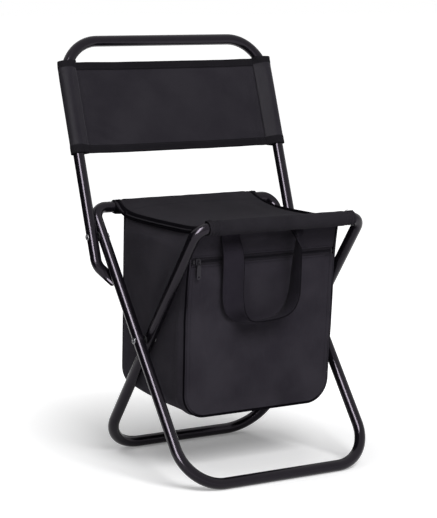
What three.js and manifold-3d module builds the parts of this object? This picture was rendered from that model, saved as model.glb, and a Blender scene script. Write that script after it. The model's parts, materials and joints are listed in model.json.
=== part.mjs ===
// Folding cooler stool: two crossed tube frames that close like scissors, a fabric seat slung between
// their top rails, an insulated bag sewn under the seat, and a backrest that folds forward.
// Millimetres. +X is the sitter's left-to-right width, -Y is the front, +Z is up, z = 0 is the ground.
import * as THREE from "three";
import { mergeVertices } from "three/addons/utils/BufferGeometryUtils.js";
import Module from "manifold-3d";

const wasm = await Module();
wasm.setup();

// Tube stock of the three frames
const TUBE_RADIUS = 8;
const TUBE_WALL = 1;
const TUBE_SIDES = 12;
const BEND_STEP_DEGREES = 15;
const TUBE_JOINT_GAP = 0.6;
const FIT_GAP = 0.3;

// The crossed frames: each is a closed loop of tube that leans about its own pivot
const PIVOT_HEIGHT = 189;
const RAIL_HEIGHT = 360;
const OUTER_LEAN_DEGREES = 36.9;
const INNER_LEAN_DEGREES = 34.5;
const INNER_WIDTH = 276;
const SIDE_GAP = 2;
const FOOT_BEND_RADIUS = 60;
const RAIL_BEND_RADIUS = 19;
const OUTER_WIDTH = INNER_WIDTH + (TUBE_RADIUS * 2 + SIDE_GAP) * 2;
const BACKREST_WIDTH = OUTER_WIDTH + (TUBE_RADIUS * 2 + SIDE_GAP) * 2;

// The spigot that joins a loop's two tube ends inside its seat sleeve
const SPIGOT_LENGTH = 60;
const SPIGOT_WALL = 1.4;

// Rivets and the washers between the tubes
const RIVET_RADIUS = 2.9;
const RIVET_HEAD_RADIUS = 4.5;
const RIVET_HEAD_HEIGHT = 1.6;
const RIVET_TAIL_RADIUS = 4;
const RIVET_TAIL_HEIGHT = 1.1;
const RIVET_SIDES = 16;
const WASHER_RADIUS = 7;

// The backrest hoop, which turns on rivets in the outer frame's legs
const BACKREST_PIVOT_DROP = 46.5;
const BACKREST_RECLINE_DEGREES = 19.5;
const BACKREST_HEIGHT = 288;
const BACKREST_BEND_RADIUS = 60;
const TAIL_DROP = 41.5;
const TAIL_LENGTH = 34;
const TAIL_BEND_DEGREES = 44;
const TAIL_BEND_RADIUS = 22;
const PLUG_INSERT = 12;
const PLUG_HEAD = 3;

// The backrest's fabric, measured down the posts from the top bar's axis
const PANEL_TOP_DROP = 30;
const PANEL_HEIGHT = 136;
const PANEL_THICKNESS = 2.4;
const PANEL_BULGE = 8;
const BULGE_EDGE_SHARE = 0.6;
const HEM_HEIGHT = 12;
const HEM_THICKNESS = 4;
const SLEEVE_THICKNESS = 1.1;
const SLEEVE_SLACK = 0.6;
const SLEEVE_EAR_SHARE = 0.25;
const PANEL_END_GAP = 1.4;
const PANEL_ROWS = 6;
const PANEL_COLUMNS = 12;
const SLEEVE_ROWS = 8;

// The seat, slung between the rails
const SEAT_WIDTH = 250;
const SEAT_SAG = 16;
const SEAT_THICKNESS = 1.4;
const SEAT_WRAP_DEGREES = 25;
const SEAT_WRAP_STEPS = 4;
const SEAT_SPAN_STEPS = 12;
const SEAT_HEM_WIDTH = 11;
const SEAT_HEM_THICKNESS = 3.4;

// The insulated bag; its drops are measured down from the rails' axis
const BAG_HALF_WIDTH = 120.5;
const BAG_SIDE_BULGE = 6;
const BAG_FRONT_INSET = 49.5;
const BAG_FRONT_FLARE = 18;
const BAG_FLARE_DROP = 160;
const BAG_BACK_INSET = 31;
const BAG_FRONT_DROP = 271;
const BAG_BACK_DROP = 260;
const BAG_CORNER_RADIUS = 32;
const BAG_WALL = 3;
const LINER_THICKNESS = 0.8;
const PIPING_RADIUS = 1.8;
const PIPING_SIDES = 6;
const BAG_DEPTH_STEPS = 8;
const BAG_HEIGHT_STEPS = 6;
const BAG_CORNER_STEPS = 5;
const BAG_BULGE_POWER_SHARE = 0.7;

// The zip across the front of the bag
const ZIP_DROP = 52;
const ZIP_TAPE_WIDTH = 6;
const ZIP_TAPE_THICKNESS = 1.2;
const ZIP_TEETH_WIDTH = 1.6;
const ZIP_TEETH_RISE = 1;
const ZIP_END_MARGIN = 3.5;
const ZIP_STOP_WIDTH = 2.4;
const ZIP_STOP_HEIGHT = 5;
const ZIP_STOP_THICKNESS = 1.2;
const SLIDER_WIDTH = 8.4;
const SLIDER_HEIGHT = 10;
const SLIDER_THICKNESS = 2;
const SLIDER_END_GAP = 1.4;
const ARCH_WIDTH = 2.6;
const ARCH_THICKNESS = 1;
const ARCH_OPENING_DEPTH = 2.2;
const ARCH_OPENING_HEIGHT = 4;
const PULLER_LENGTH = 25;
const PULLER_WIDTH = 6.4;
const PULLER_THICKNESS = 1.2;
const PULLER_EYE_WIDTH = 3.6;
const PULLER_EYE_HEIGHT = 4.2;

// The carry strap, a loop of webbing sewn on below the front rail
const STRAP_WIDTH = 30;
const STRAP_THICKNESS = 2;
const STRAP_LEFT = -72;
const STRAP_RIGHT = 47;
const STRAP_TOP_DROP = 15;
const STRAP_HANG = 129;
const STRAP_SEAM_GAP = 1.5;
const STRAP_HAND_GAP = 8.5;
const STRAP_RISE = 30;
const STRAP_STATIONS = 30;

// How far a cutting tool runs past what it cuts
const OVERRUN = 20;

const radians = THREE.MathUtils.degToRad;
const HALF_TURN = Math.PI;
const OUTER_LEAN = radians(OUTER_LEAN_DEGREES);
const INNER_LEAN = radians(INNER_LEAN_DEGREES);
const RECLINE = radians(BACKREST_RECLINE_DEGREES);

// Places that follow from the sizes above, with the crossing at y = 0
const RAIL_RISE = RAIL_HEIGHT - PIVOT_HEIGHT;
const FOOT_FALL = PIVOT_HEIGHT - TUBE_RADIUS;
const REAR_RAIL_Y = RAIL_RISE * Math.tan(OUTER_LEAN);
const FRONT_RAIL_Y = -RAIL_RISE * Math.tan(INNER_LEAN);
const FRONT_FOOT_Y = -FOOT_FALL * Math.tan(OUTER_LEAN);
const BACKREST_PIVOT_Y = REAR_RAIL_Y - BACKREST_PIVOT_DROP * Math.sin(OUTER_LEAN);
const BACKREST_PIVOT_Z = RAIL_HEIGHT - BACKREST_PIVOT_DROP * Math.cos(OUTER_LEAN);
const TOP_BAR_Y = BACKREST_PIVOT_Y + BACKREST_HEIGHT * Math.sin(RECLINE);
// The whole stool is shifted so that the middle of its depth stands over the origin
const DEPTH_SHIFT = -(FRONT_FOOT_Y - TUBE_RADIUS + TOP_BAR_Y + TUBE_RADIUS) / 2;

const BAG_FRONT_Y = FRONT_RAIL_Y + BAG_FRONT_INSET;
const BAG_BACK_Y = REAR_RAIL_Y - BAG_BACK_INSET;
const BAG_FRONT_BOTTOM = RAIL_HEIGHT - BAG_FRONT_DROP;
const BAG_BACK_BOTTOM = RAIL_HEIGHT - BAG_BACK_DROP;
const ZIP_HEIGHT = RAIL_HEIGHT - ZIP_DROP;
const STRAP_TOP = RAIL_HEIGHT - STRAP_TOP_DROP;
const SLEEVE_INNER = TUBE_RADIUS + SLEEVE_SLACK;
const SLEEVE_OUTER = SLEEVE_INNER + SLEEVE_THICKNESS;

const paint = { color: 0x141416, roughness: 0.22, metalness: 0.35 };
const steel = { color: 0xb9bcc0, roughness: 0.3, metalness: 1 };
const darkMetal = { color: 0x5c5d62, roughness: 0.35, metalness: 1 };
const plastic = { color: 0x17171a, roughness: 0.5, metalness: 0 };
const clearPlastic = { color: 0x9a9a96, roughness: 0.55, metalness: 0 };
const fabric = { color: 0x2b292f, roughness: 0.9, metalness: 0 };
const binding = { color: 0x1a181d, roughness: 0.85, metalness: 0 };
const webbing = { color: 0x232128, roughness: 0.8, metalness: 0 };
const foil = { color: 0xc9ccd0, roughness: 0.28, metalness: 0.9 };

const lerp = THREE.MathUtils.lerp;

function named(name, geometry, look, group) {
  const mesh = new THREE.Mesh(geometry, new THREE.MeshStandardMaterial(look));
  mesh.name = name;
  group.add(mesh);
  return mesh;
}

// A regular polygon whose flats, not its corners, lie at the given radius; one flat faces phase.
function polygon(radius, sides, phase, PathClass) {
  const corner = radius / Math.cos(HALF_TURN / sides);
  const path = new PathClass();
  for (let k = 0; k < sides; k++) {
    const angle = phase + ((2 * k + 1) * HALF_TURN) / sides;
    const x = corner * Math.cos(angle);
    const y = corner * Math.sin(angle);
    if (k === 0) path.moveTo(x, y);
    else path.lineTo(x, y);
  }
  path.closePath();
  return path;
}

function ringShape(outerRadius, innerRadius, sides, phase) {
  const shape = polygon(outerRadius, sides, phase, THREE.Shape);
  shape.holes.push(polygon(innerRadius, sides, phase, THREE.Path));
  return shape;
}

// A path through given points whose sections keep their second axis along one reference direction.
class StationPath extends THREE.Curve {
  constructor(points, reference) {
    super();
    this.points = points;
    this.reference = reference;
  }
  getPoint(share, target = new THREE.Vector3()) {
    const last = this.points.length - 1;
    const i = Math.min(Math.floor(share * last), last - 1);
    return target.lerpVectors(this.points[i], this.points[i + 1], share * last - i);
  }
  getSpacedPoints() {
    return this.points;
  }
  tangentAt(i) {
    const tangent = new THREE.Vector3();
    const here = this.points[i];
    const before = this.points[i - 1];
    const after = this.points[i + 1];
    if (before) tangent.add(here.clone().sub(before).normalize());
    if (after) tangent.add(after.clone().sub(here).normalize());
    return tangent.normalize();
  }
  computeFrenetFrames() {
    const frames = { tangents: [], normals: [], binormals: [] };
    this.points.forEach((point, i) => {
      const tangent = this.tangentAt(i);
      const along = tangent.clone().multiplyScalar(this.reference.dot(tangent));
      const binormal = this.reference.clone().sub(along).normalize();
      frames.tangents.push(tangent);
      frames.binormals.push(binormal);
      frames.normals.push(new THREE.Vector3().crossVectors(binormal, tangent));
    });
    return frames;
  }
}

function sweep(shape, path) {
  return new THREE.ExtrudeGeometry(shape, { steps: path.points.length - 1, extrudePath: path });
}

// Points in the XZ plane along straight runs whose corners are rounded: corners is [x, z, radius].
function roundedRun(corners) {
  const points = [];
  corners.forEach(([x, z, radius], i) => {
    const here = new THREE.Vector3(x, 0, z);
    if (!radius) {
      points.push(here);
      return;
    }
    const [beforeX, beforeZ] = corners[i - 1];
    const [afterX, afterZ] = corners[i + 1];
    const into = here.clone().sub(new THREE.Vector3(beforeX, 0, beforeZ)).normalize();
    const out = new THREE.Vector3(afterX, 0, afterZ).sub(here).normalize();
    const turn = into.angleTo(out);
    const trim = radius * Math.tan(turn / 2);
    const start = here.clone().addScaledVector(into, -trim);
    const inward = out.clone().addScaledVector(into, -into.dot(out)).normalize();
    const centre = start.clone().addScaledVector(inward, radius);
    const steps = Math.max(2, Math.round(turn / radians(BEND_STEP_DEGREES)));
    for (let k = 0; k <= steps; k++) {
      const angle = (turn * k) / steps;
      const point = centre.clone();
      point.addScaledVector(into, radius * Math.sin(angle));
      point.addScaledVector(inward, -radius * Math.cos(angle));
      points.push(point);
    }
  });
  return points;
}

// A closed solid between two sheets of points; wrap joins the end of each row to its start.
function shell(outer, inner, wrap = false) {
  const rows = outer.length;
  const columns = outer[0].length;
  const positions = [...outer.flat(), ...inner.flat()].flatMap((p) => [p.x, p.y, p.z]);
  const index = [];
  const at = (side, i, j) => side * rows * columns + i * columns + (j % columns);
  const quad = (a, b, c, d) => index.push(a, b, c, a, c, d);
  const spans = wrap ? columns : columns - 1;
  for (let i = 0; i < rows - 1; i++) {
    for (let j = 0; j < spans; j++) {
      quad(at(0, i, j), at(0, i, j + 1), at(0, i + 1, j + 1), at(0, i + 1, j));
      quad(at(1, i + 1, j), at(1, i + 1, j + 1), at(1, i, j + 1), at(1, i, j));
    }
  }
  for (let j = 0; j < spans; j++) {
    quad(at(1, 0, j), at(1, 0, j + 1), at(0, 0, j + 1), at(0, 0, j));
    quad(at(0, rows - 1, j), at(0, rows - 1, j + 1), at(1, rows - 1, j + 1), at(1, rows - 1, j));
  }
  for (let i = 0; !wrap && i < rows - 1; i++) {
    quad(at(0, i, 0), at(0, i + 1, 0), at(1, i + 1, 0), at(1, i, 0));
    quad(at(1, i, spans), at(1, i + 1, spans), at(0, i + 1, spans), at(0, i, spans));
  }
  return facingOut(positions, index);
}

// Builds the geometry, turning every face round if the solid came out inside out.
function facingOut(positions, index) {
  const corner = (i) => new THREE.Vector3().fromArray(positions, index[i] * 3);
  let sixVolumes = 0;
  for (let i = 0; i < index.length; i += 3) {
    sixVolumes += corner(i).dot(corner(i + 1).cross(corner(i + 2)));
  }
  if (sixVolumes < 0) index.reverse();
  const geometry = new THREE.BufferGeometry();
  geometry.setAttribute("position", new THREE.Float32BufferAttribute(positions, 3));
  geometry.setIndex(index);
  geometry.computeVertexNormals();
  return geometry;
}

// Merges the vertices that faces share, and leaves out faces that have shrunk to a line.
function welded(geometry) {
  const bare = geometry.clone();
  bare.deleteAttribute("normal");
  bare.deleteAttribute("uv");
  const merged = mergeVertices(bare);
  const all = Array.from(merged.index.array);
  const index = [];
  for (let i = 0; i < all.length; i += 3) {
    const [a, b, c] = all.slice(i, i + 3);
    if (a !== b && b !== c && c !== a) index.push(a, b, c);
  }
  return facingOut(Array.from(merged.attributes.position.array), index);
}

function toManifold(geometry) {
  const solid = welded(geometry);
  const vertProperties = Float32Array.from(solid.attributes.position.array);
  const triVerts = Uint32Array.from(solid.index.array);
  return new wasm.Manifold(new wasm.Mesh({ numProp: 3, vertProperties, triVerts }));
}

function fromManifold(solid) {
  const mesh = solid.getMesh();
  return facingOut(Array.from(mesh.vertProperties), Array.from(mesh.triVerts));
}

function cut(geometry, tools) {
  const solid = tools.reduce((body, tool) => body.subtract(toManifold(tool)), toManifold(geometry));
  return fromManifold(solid);
}

function join(geometries) {
  return fromManifold(geometries.map(toManifold).reduce((all, next) => all.add(next)));
}

// A closed outline in Y and Z, extruded along X between two places.
function alongX(outline, fromX, toX) {
  const geometry = new THREE.ExtrudeGeometry(outline, { depth: toX - fromX, bevelEnabled: false });
  const yAxis = new THREE.Vector3(0, 1, 0);
  const zAxis = new THREE.Vector3(0, 0, 1);
  const xAxis = new THREE.Vector3(1, 0, 0);
  geometry.applyMatrix4(new THREE.Matrix4().makeBasis(yAxis, zAxis, xAxis));
  return geometry.translate(fromX, 0, 0);
}

// A turned piece about the X axis; profile is [distance along X, radius].
function turnedAboutX(profile, sides) {
  const points = profile.map(([along, radius]) => new THREE.Vector2(radius, along));
  return welded(new THREE.LatheGeometry(points, sides).rotateZ(-HALF_TURN / 2));
}

// A drill across both sides of a frame, at a height on its legs.
function crossDrill(height, width) {
  const radius = (RIVET_RADIUS + FIT_GAP) / Math.cos(HALF_TURN / RIVET_SIDES);
  const drill = new THREE.CylinderGeometry(radius, radius, width + OVERRUN, RIVET_SIDES);
  drill.rotateZ(HALF_TURN / 2);
  return drill.translate(0, 0, height);
}

// One leg frame: a loop of tube with its ends meeting in the middle of the seat rail.
function loopTube(width, railRise, footFall, phase) {
  const half = width / 2;
  const start = TUBE_JOINT_GAP / 2;
  const run = roundedRun([
    [-start, railRise, 0],
    [-half, railRise, RAIL_BEND_RADIUS],
    [-half, -footFall, FOOT_BEND_RADIUS],
    [half, -footFall, FOOT_BEND_RADIUS],
    [half, railRise, RAIL_BEND_RADIUS],
    [start, railRise, 0],
  ]);
  const section = ringShape(TUBE_RADIUS, TUBE_RADIUS - TUBE_WALL, TUBE_SIDES, phase);
  return sweep(section, new StationPath(run, new THREE.Vector3(0, 1, 0)));
}

function spigot(railRise, phase) {
  const outer = TUBE_RADIUS - TUBE_WALL - FIT_GAP;
  const section = ringShape(outer, outer - SPIGOT_WALL, TUBE_SIDES, phase);
  const ends = [-SPIGOT_LENGTH / 2, SPIGOT_LENGTH / 2];
  const run = ends.map((x) => new THREE.Vector3(x, 0, railRise));
  return sweep(section, new StationPath(run, new THREE.Vector3(0, 1, 0)));
}

// A rivet on the +X side from the outermost tube face to the innermost one.
function rivet(outerFace, innerFace) {
  const headBase = outerFace + FIT_GAP;
  const tailBase = innerFace - FIT_GAP;
  const headShoulder = RIVET_HEAD_HEIGHT / 2;
  const tailShoulder = RIVET_TAIL_HEIGHT / 2;
  const profile = [
    [tailBase - RIVET_TAIL_HEIGHT, 0],
    [tailBase - RIVET_TAIL_HEIGHT, RIVET_TAIL_RADIUS - tailShoulder],
    [tailBase - tailShoulder, RIVET_TAIL_RADIUS],
    [tailBase, RIVET_TAIL_RADIUS],
    [tailBase, RIVET_RADIUS],
    [headBase, RIVET_RADIUS],
    [headBase, RIVET_HEAD_RADIUS],
    [headBase + headShoulder, RIVET_HEAD_RADIUS - headShoulder / 4],
    [headBase + RIVET_HEAD_HEIGHT, RIVET_HEAD_RADIUS / 2],
    [headBase + RIVET_HEAD_HEIGHT, 0],
  ];
  return turnedAboutX(profile, RIVET_SIDES);
}

// A washer that fills the gap between two tubes, on the +X side.
function washer(outerTubeAxis) {
  const outerFace = outerTubeAxis - TUBE_RADIUS - FIT_GAP;
  const innerFace = outerTubeAxis - TUBE_RADIUS - SIDE_GAP + FIT_GAP;
  const hole = RIVET_RADIUS + FIT_GAP;
  const profile = [
    [innerFace, hole],
    [innerFace, WASHER_RADIUS],
    [outerFace, WASHER_RADIUS],
    [outerFace, hole],
    [innerFace, hole],
  ];
  return turnedAboutX(profile, RIVET_SIDES);
}

// Puts a piece made for the +X side on both sides of a group.
function bothSides(name, makeGeometry, look, group) {
  const right = makeGeometry();
  const left = right.clone().rotateZ(HALF_TURN);
  named(name + "_left", left, look, group);
  named(name + "_right", right, look, group);
}

function placedGroup(y, z, lean) {
  const group = new THREE.Group();
  group.position.set(0, y, z);
  group.rotation.x = -lean;
  return group;
}

// Outer frame: it carries the rear seat rail and the front floor bar.
function outerFrame() {
  const group = placedGroup(0, PIVOT_HEIGHT, OUTER_LEAN);
  const rise = RAIL_RISE / Math.cos(OUTER_LEAN);
  const fall = FOOT_FALL / Math.cos(OUTER_LEAN);
  const tube = loopTube(OUTER_WIDTH, rise, fall, OUTER_LEAN);
  const drills = [crossDrill(0, OUTER_WIDTH), crossDrill(rise - BACKREST_PIVOT_DROP, OUTER_WIDTH)];
  named("outer_frame_tube", cut(tube, drills), paint, group);
  named("outer_frame_spigot", spigot(rise, OUTER_LEAN), steel, group);
  const outerFace = OUTER_WIDTH / 2 + TUBE_RADIUS;
  const innerFace = INNER_WIDTH / 2 - TUBE_RADIUS;
  bothSides("pivot_rivet", () => rivet(outerFace, innerFace), steel, group);
  bothSides("pivot_washer", () => washer(OUTER_WIDTH / 2), clearPlastic, group);
  return group;
}

// Inner frame: it carries the front seat rail and the rear floor bar.
function innerFrame() {
  const group = placedGroup(0, PIVOT_HEIGHT, -INNER_LEAN);
  const rise = RAIL_RISE / Math.cos(INNER_LEAN);
  const fall = FOOT_FALL / Math.cos(INNER_LEAN);
  const tube = loopTube(INNER_WIDTH, rise, fall, -INNER_LEAN);
  named("inner_frame_tube", cut(tube, [crossDrill(0, INNER_WIDTH)]), paint, group);
  named("inner_frame_spigot", spigot(rise, -INNER_LEAN), steel, group);
  return group;
}

// Backrest hoop, made about its rivets, with its tail ends bent in behind the outer frame's legs.
function backrest() {
  const group = placedGroup(BACKREST_PIVOT_Y, BACKREST_PIVOT_Z, RECLINE);
  const half = BACKREST_WIDTH / 2;
  const tailX = half - TAIL_LENGTH * Math.sin(radians(TAIL_BEND_DEGREES));
  const tailZ = -TAIL_DROP - TAIL_LENGTH * Math.cos(radians(TAIL_BEND_DEGREES));
  const run = roundedRun([
    [tailX, tailZ, 0],
    [half, -TAIL_DROP, TAIL_BEND_RADIUS],
    [half, BACKREST_HEIGHT, BACKREST_BEND_RADIUS],
    [-half, BACKREST_HEIGHT, BACKREST_BEND_RADIUS],
    [-half, -TAIL_DROP, TAIL_BEND_RADIUS],
    [-tailX, tailZ, 0],
  ]);
  const section = ringShape(TUBE_RADIUS, TUBE_RADIUS - TUBE_WALL, TUBE_SIDES, -RECLINE);
  const tube = sweep(section, new StationPath(run, new THREE.Vector3(0, 1, 0)));
  named("backrest_tube", cut(tube, [crossDrill(0, BACKREST_WIDTH)]), paint, group);
  bothSides("backrest_plug", () => tailPlug(tailX, tailZ), plastic, group);
  const outerFace = half + TUBE_RADIUS;
  const innerFace = OUTER_WIDTH / 2 - TUBE_RADIUS;
  bothSides("backrest_rivet", () => rivet(outerFace, innerFace), steel, group);
  bothSides("backrest_washer", () => washer(half), clearPlastic, group);
  backrestFabric(group);
  return group;
}

// A domed plug pushed into the end of a tail.
function tailPlug(tailX, tailZ) {
  const insertRadius = TUBE_RADIUS - TUBE_WALL - FIT_GAP;
  const profile = [
    [-PLUG_INSERT, 0],
    [-PLUG_INSERT, insertRadius],
    [FIT_GAP, insertRadius],
    [FIT_GAP, TUBE_RADIUS],
    [FIT_GAP + PLUG_HEAD / 2, TUBE_RADIUS - PLUG_HEAD / 4],
    [FIT_GAP + PLUG_HEAD, TUBE_RADIUS / 2],
    [FIT_GAP + PLUG_HEAD, 0],
  ];
  const plug = turnedAboutX(profile, TUBE_SIDES);
  plug.rotateY(HALF_TURN / 2 + radians(TAIL_BEND_DEGREES));
  return plug.translate(tailX, 0, tailZ);
}

// How far the hoop's axis has bent in from its posts, at a drop below the top bar.
function hoopBendIn(drop) {
  const above = Math.max(0, BACKREST_BEND_RADIUS - drop);
  return BACKREST_BEND_RADIUS - Math.sqrt(BACKREST_BEND_RADIUS ** 2 - above ** 2);
}

// The sleeve's section at a drop below the top bar: how far the post has bent in, and the spare
// room that the sleeve keeps for it on both sides.
function sleeveSpread(drop) {
  const bend = hoopBendIn(drop);
  return { bend, spare: bend / 2 + SLEEVE_EAR_SHARE * bend };
}

// The panel between the posts, its top and bottom hems, and the sleeves that the posts run through.
function backrestFabric(group) {
  const postX = BACKREST_WIDTH / 2;
  const top = BACKREST_HEIGHT - PANEL_TOP_DROP;
  const bottom = top - PANEL_HEIGHT;
  const panelEnd = (z) => {
    const { bend, spare } = sleeveSpread(BACKREST_HEIGHT - z);
    return postX - bend / 2 - spare - SLEEVE_OUTER - PANEL_END_GAP;
  };
  const bulge = (x, z) => {
    const across = 1 - (x / panelEnd(z)) ** 2;
    const upDown = Math.sin((HALF_TURN * (z - bottom)) / PANEL_HEIGHT);
    return PANEL_BULGE * across * lerp(BULGE_EDGE_SHARE, 1, upDown);
  };
  const rows = (fromZ, toZ, offset) =>
    steps(fromZ, toZ, PANEL_ROWS).map((z) =>
      steps(-panelEnd(z), panelEnd(z), PANEL_COLUMNS).map(
        (x) => new THREE.Vector3(x, bulge(x, z) + offset, z),
      ),
    );
  const sheet = (fromZ, toZ, thickness) =>
    shell(rows(fromZ, toZ, -thickness / 2), rows(fromZ, toZ, thickness / 2));
  const hemSpan = HEM_HEIGHT + FIT_GAP;
  named("backrest_panel", sheet(bottom + hemSpan, top - hemSpan, PANEL_THICKNESS), fabric, group);
  named("backrest_top_hem", sheet(top - HEM_HEIGHT, top, HEM_THICKNESS), binding, group);
  named("backrest_bottom_hem", sheet(bottom, bottom + HEM_HEIGHT, HEM_THICKNESS), binding, group);
  bothSides("backrest_sleeve", () => postSleeve(postX, bottom, top), fabric, group);
}

// A sleeve round one post. Its outer edge stays straight where the post bends in, as an ear.
function postSleeve(postX, bottom, top) {
  const side = (radius) =>
    steps(bottom, top, SLEEVE_ROWS).map((z) => {
      const { bend, spare } = sleeveSpread(BACKREST_HEIGHT - z);
      const centre = postX - bend / 2;
      const section = polygon(radius, TUBE_SIDES, 0, THREE.Shape).getPoints().slice(1);
      return section.map(({ x, y }) => new THREE.Vector3(centre + x + Math.sign(x) * spare, y, z));
    });
  return shell(side(SLEEVE_OUTER), side(SLEEVE_INNER), true);
}

// The seat's middle surface: over the front rail, down in a shallow sag and over the rear rail.
const SEAT_RAIL_RADIUS = SLEEVE_OUTER / Math.cos(HALF_TURN / TUBE_SIDES) + FIT_GAP + SEAT_THICKNESS / 2;
const SEAT_SLOPE = Math.atan((4 * SEAT_SAG) / (REAR_RAIL_Y - FRONT_RAIL_Y));
const SEAT_FRONT_Y = FRONT_RAIL_Y + SEAT_RAIL_RADIUS * Math.sin(SEAT_SLOPE);
const SEAT_BACK_Y = REAR_RAIL_Y - SEAT_RAIL_RADIUS * Math.sin(SEAT_SLOPE);
const SEAT_EDGE_Z = RAIL_HEIGHT + SEAT_RAIL_RADIUS * Math.cos(SEAT_SLOPE);

function seatZ(y) {
  const share = (y - SEAT_FRONT_Y) / (SEAT_BACK_Y - SEAT_FRONT_Y);
  return SEAT_EDGE_Z - 4 * SEAT_SAG * share * (1 - share);
}

// The seat's profile in Y and Z, moved out along its own normal by an offset.
function seatProfile(offset) {
  const wrap = radians(SEAT_WRAP_DEGREES);
  const overRail = (railY, from, to) =>
    steps(from, to, SEAT_WRAP_STEPS).map((angle) => {
      const radius = SEAT_RAIL_RADIUS + offset;
      const y = railY + radius * Math.sin(angle);
      return new THREE.Vector2(y, RAIL_HEIGHT + radius * Math.cos(angle));
    });
  const span = steps(SEAT_FRONT_Y, SEAT_BACK_Y, SEAT_SPAN_STEPS).slice(1, -1);
  const sagging = span.map((y) => {
    const share = (y - SEAT_FRONT_Y) / (SEAT_BACK_Y - SEAT_FRONT_Y);
    const slope = Math.tan(SEAT_SLOPE) * (1 - 2 * share);
    const normal = new THREE.Vector2(slope, 1).normalize();
    return new THREE.Vector2(y, seatZ(y)).addScaledVector(normal, offset);
  });
  const front = overRail(FRONT_RAIL_Y, -wrap, SEAT_SLOPE);
  const back = overRail(REAR_RAIL_Y, -SEAT_SLOPE, wrap);
  return [...front, ...sagging, ...back];
}

function seatStrip(fromX, toX, thickness, lift) {
  const top = seatProfile(lift + thickness / 2);
  const underside = seatProfile(lift - thickness / 2).reverse();
  return alongX(new THREE.Shape([...top, ...underside]), fromX, toX);
}

// A sleeve on the straight part of a rail, as wide as the seat or as that straight part allows.
function railSleeve(railY, railWidth) {
  const half = Math.min(SEAT_WIDTH, railWidth - RAIL_BEND_RADIUS * 2) / 2;
  const ring = ringShape(SLEEVE_OUTER, SLEEVE_INNER, TUBE_SIDES, 0);
  return alongX(ring, -half, half).translate(0, railY, RAIL_HEIGHT);
}

function seat() {
  const group = new THREE.Group();
  const half = SEAT_WIDTH / 2;
  const panelHalf = half - SEAT_HEM_WIDTH - FIT_GAP;
  const hemLift = (SEAT_HEM_THICKNESS - SEAT_THICKNESS) / 2;
  named("seat_panel", seatStrip(-panelHalf, panelHalf, SEAT_THICKNESS, 0), fabric, group);
  const hem = (fromX) => seatStrip(fromX, fromX + SEAT_HEM_WIDTH, SEAT_HEM_THICKNESS, hemLift);
  named("seat_hem_left", hem(-half), binding, group);
  named("seat_hem_right", hem(half - SEAT_HEM_WIDTH), binding, group);
  named("seat_front_sleeve", railSleeve(FRONT_RAIL_Y, INNER_WIDTH), fabric, group);
  named("seat_rear_sleeve", railSleeve(REAR_RAIL_Y, OUTER_WIDTH), fabric, group);
  return group;
}

// The bag's front face flares forward towards the seat.
function bagFrontY(z) {
  const share = Math.max(0, 1 - (RAIL_HEIGHT - z) / BAG_FLARE_DROP);
  return BAG_FRONT_Y - BAG_FRONT_FLARE * share ** 2;
}

// The height of the bag's top edge where it meets the seat's underside.
function bagTopZ(y) {
  return seatZ(y) - SEAT_THICKNESS / 2 / Math.cos(SEAT_SLOPE) - FIT_GAP;
}

function bagFrontTopZ() {
  return bagTopZ(bagFrontY(RAIL_HEIGHT)) - FIT_GAP;
}

// Rows up a bag panel whose lower corners are rounded: each is a height and a half width.
function panelRows(bottomZ, topZ, halfWidth, radius) {
  const corner = steps(0, HALF_TURN / 2, BAG_CORNER_STEPS).map((angle) => ({
    z: bottomZ + radius * (1 - Math.cos(angle)),
    half: halfWidth - radius * (1 - Math.sin(angle)),
  }));
  const sides = steps(bottomZ + radius, topZ, BAG_HEIGHT_STEPS).slice(1);
  return [...corner, ...sides.map((z) => ({ z, half: halfWidth }))];
}

// A flat-cut panel of the bag that follows a front or back face.
function bagPanel(rows, faceY, thickness) {
  const side = (offset) =>
    rows.map(({ z, half }) =>
      [-half, 0, half].map((x) => new THREE.Vector3(x, faceY(z) + offset, z)),
    );
  return shell(side(0), side(thickness));
}

// One run of the band round the bag's sides and base, at a share of the depth and a depth of wall.
function wrapRun(share, offset, part) {
  const bulge = BAG_SIDE_BULGE * Math.sin(HALF_TURN * share) ** BAG_BULGE_POWER_SHARE;
  const half = BAG_HALF_WIDTH + bulge - offset;
  const radius = BAG_CORNER_RADIUS - offset;
  const bottom = lerp(BAG_FRONT_BOTTOM, BAG_BACK_BOTTOM, share) + offset;
  const faceIn = BAG_WALL + FIT_GAP * 2;
  const yAt = (z) => lerp(bagFrontY(z) + faceIn, BAG_BACK_Y - faceIn, share);
  const top = bagTopZ(yAt(bagTopZ(yAt(RAIL_HEIGHT)))) - (SEAT_HEM_THICKNESS - SEAT_THICKNESS) / 2;
  const place = (x, z) => new THREE.Vector3(x, yAt(z), z);
  const sideHeights = steps(top, bottom + radius + FIT_GAP, BAG_HEIGHT_STEPS);
  const cornerAt = (side, angle) =>
    place(side * (half - radius * (1 - Math.cos(angle))), bottom + radius * (1 - Math.sin(angle)));
  const corner = steps(0, HALF_TURN / 2, BAG_CORNER_STEPS);
  if (part === "left") return sideHeights.map((z) => place(-half, z));
  if (part === "right") return sideHeights.map((z) => place(half, z));
  const base = [
    ...corner.map((angle) => cornerAt(-1, angle)),
    ...[...corner].reverse().map((angle) => cornerAt(1, angle)),
  ];
  if (part === "base") return base;
  const left = sideHeights.map((z) => place(-half, z));
  const right = sideHeights.map((z) => place(half, z)).reverse();
  return [...left, ...base, ...right];
}

function wrapSheet(part, from, thickness) {
  const shares = steps(0, 1, BAG_DEPTH_STEPS);
  const side = (offset) => shares.map((share) => wrapRun(share, offset, part));
  return shell(side(from), side(from + thickness));
}

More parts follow.
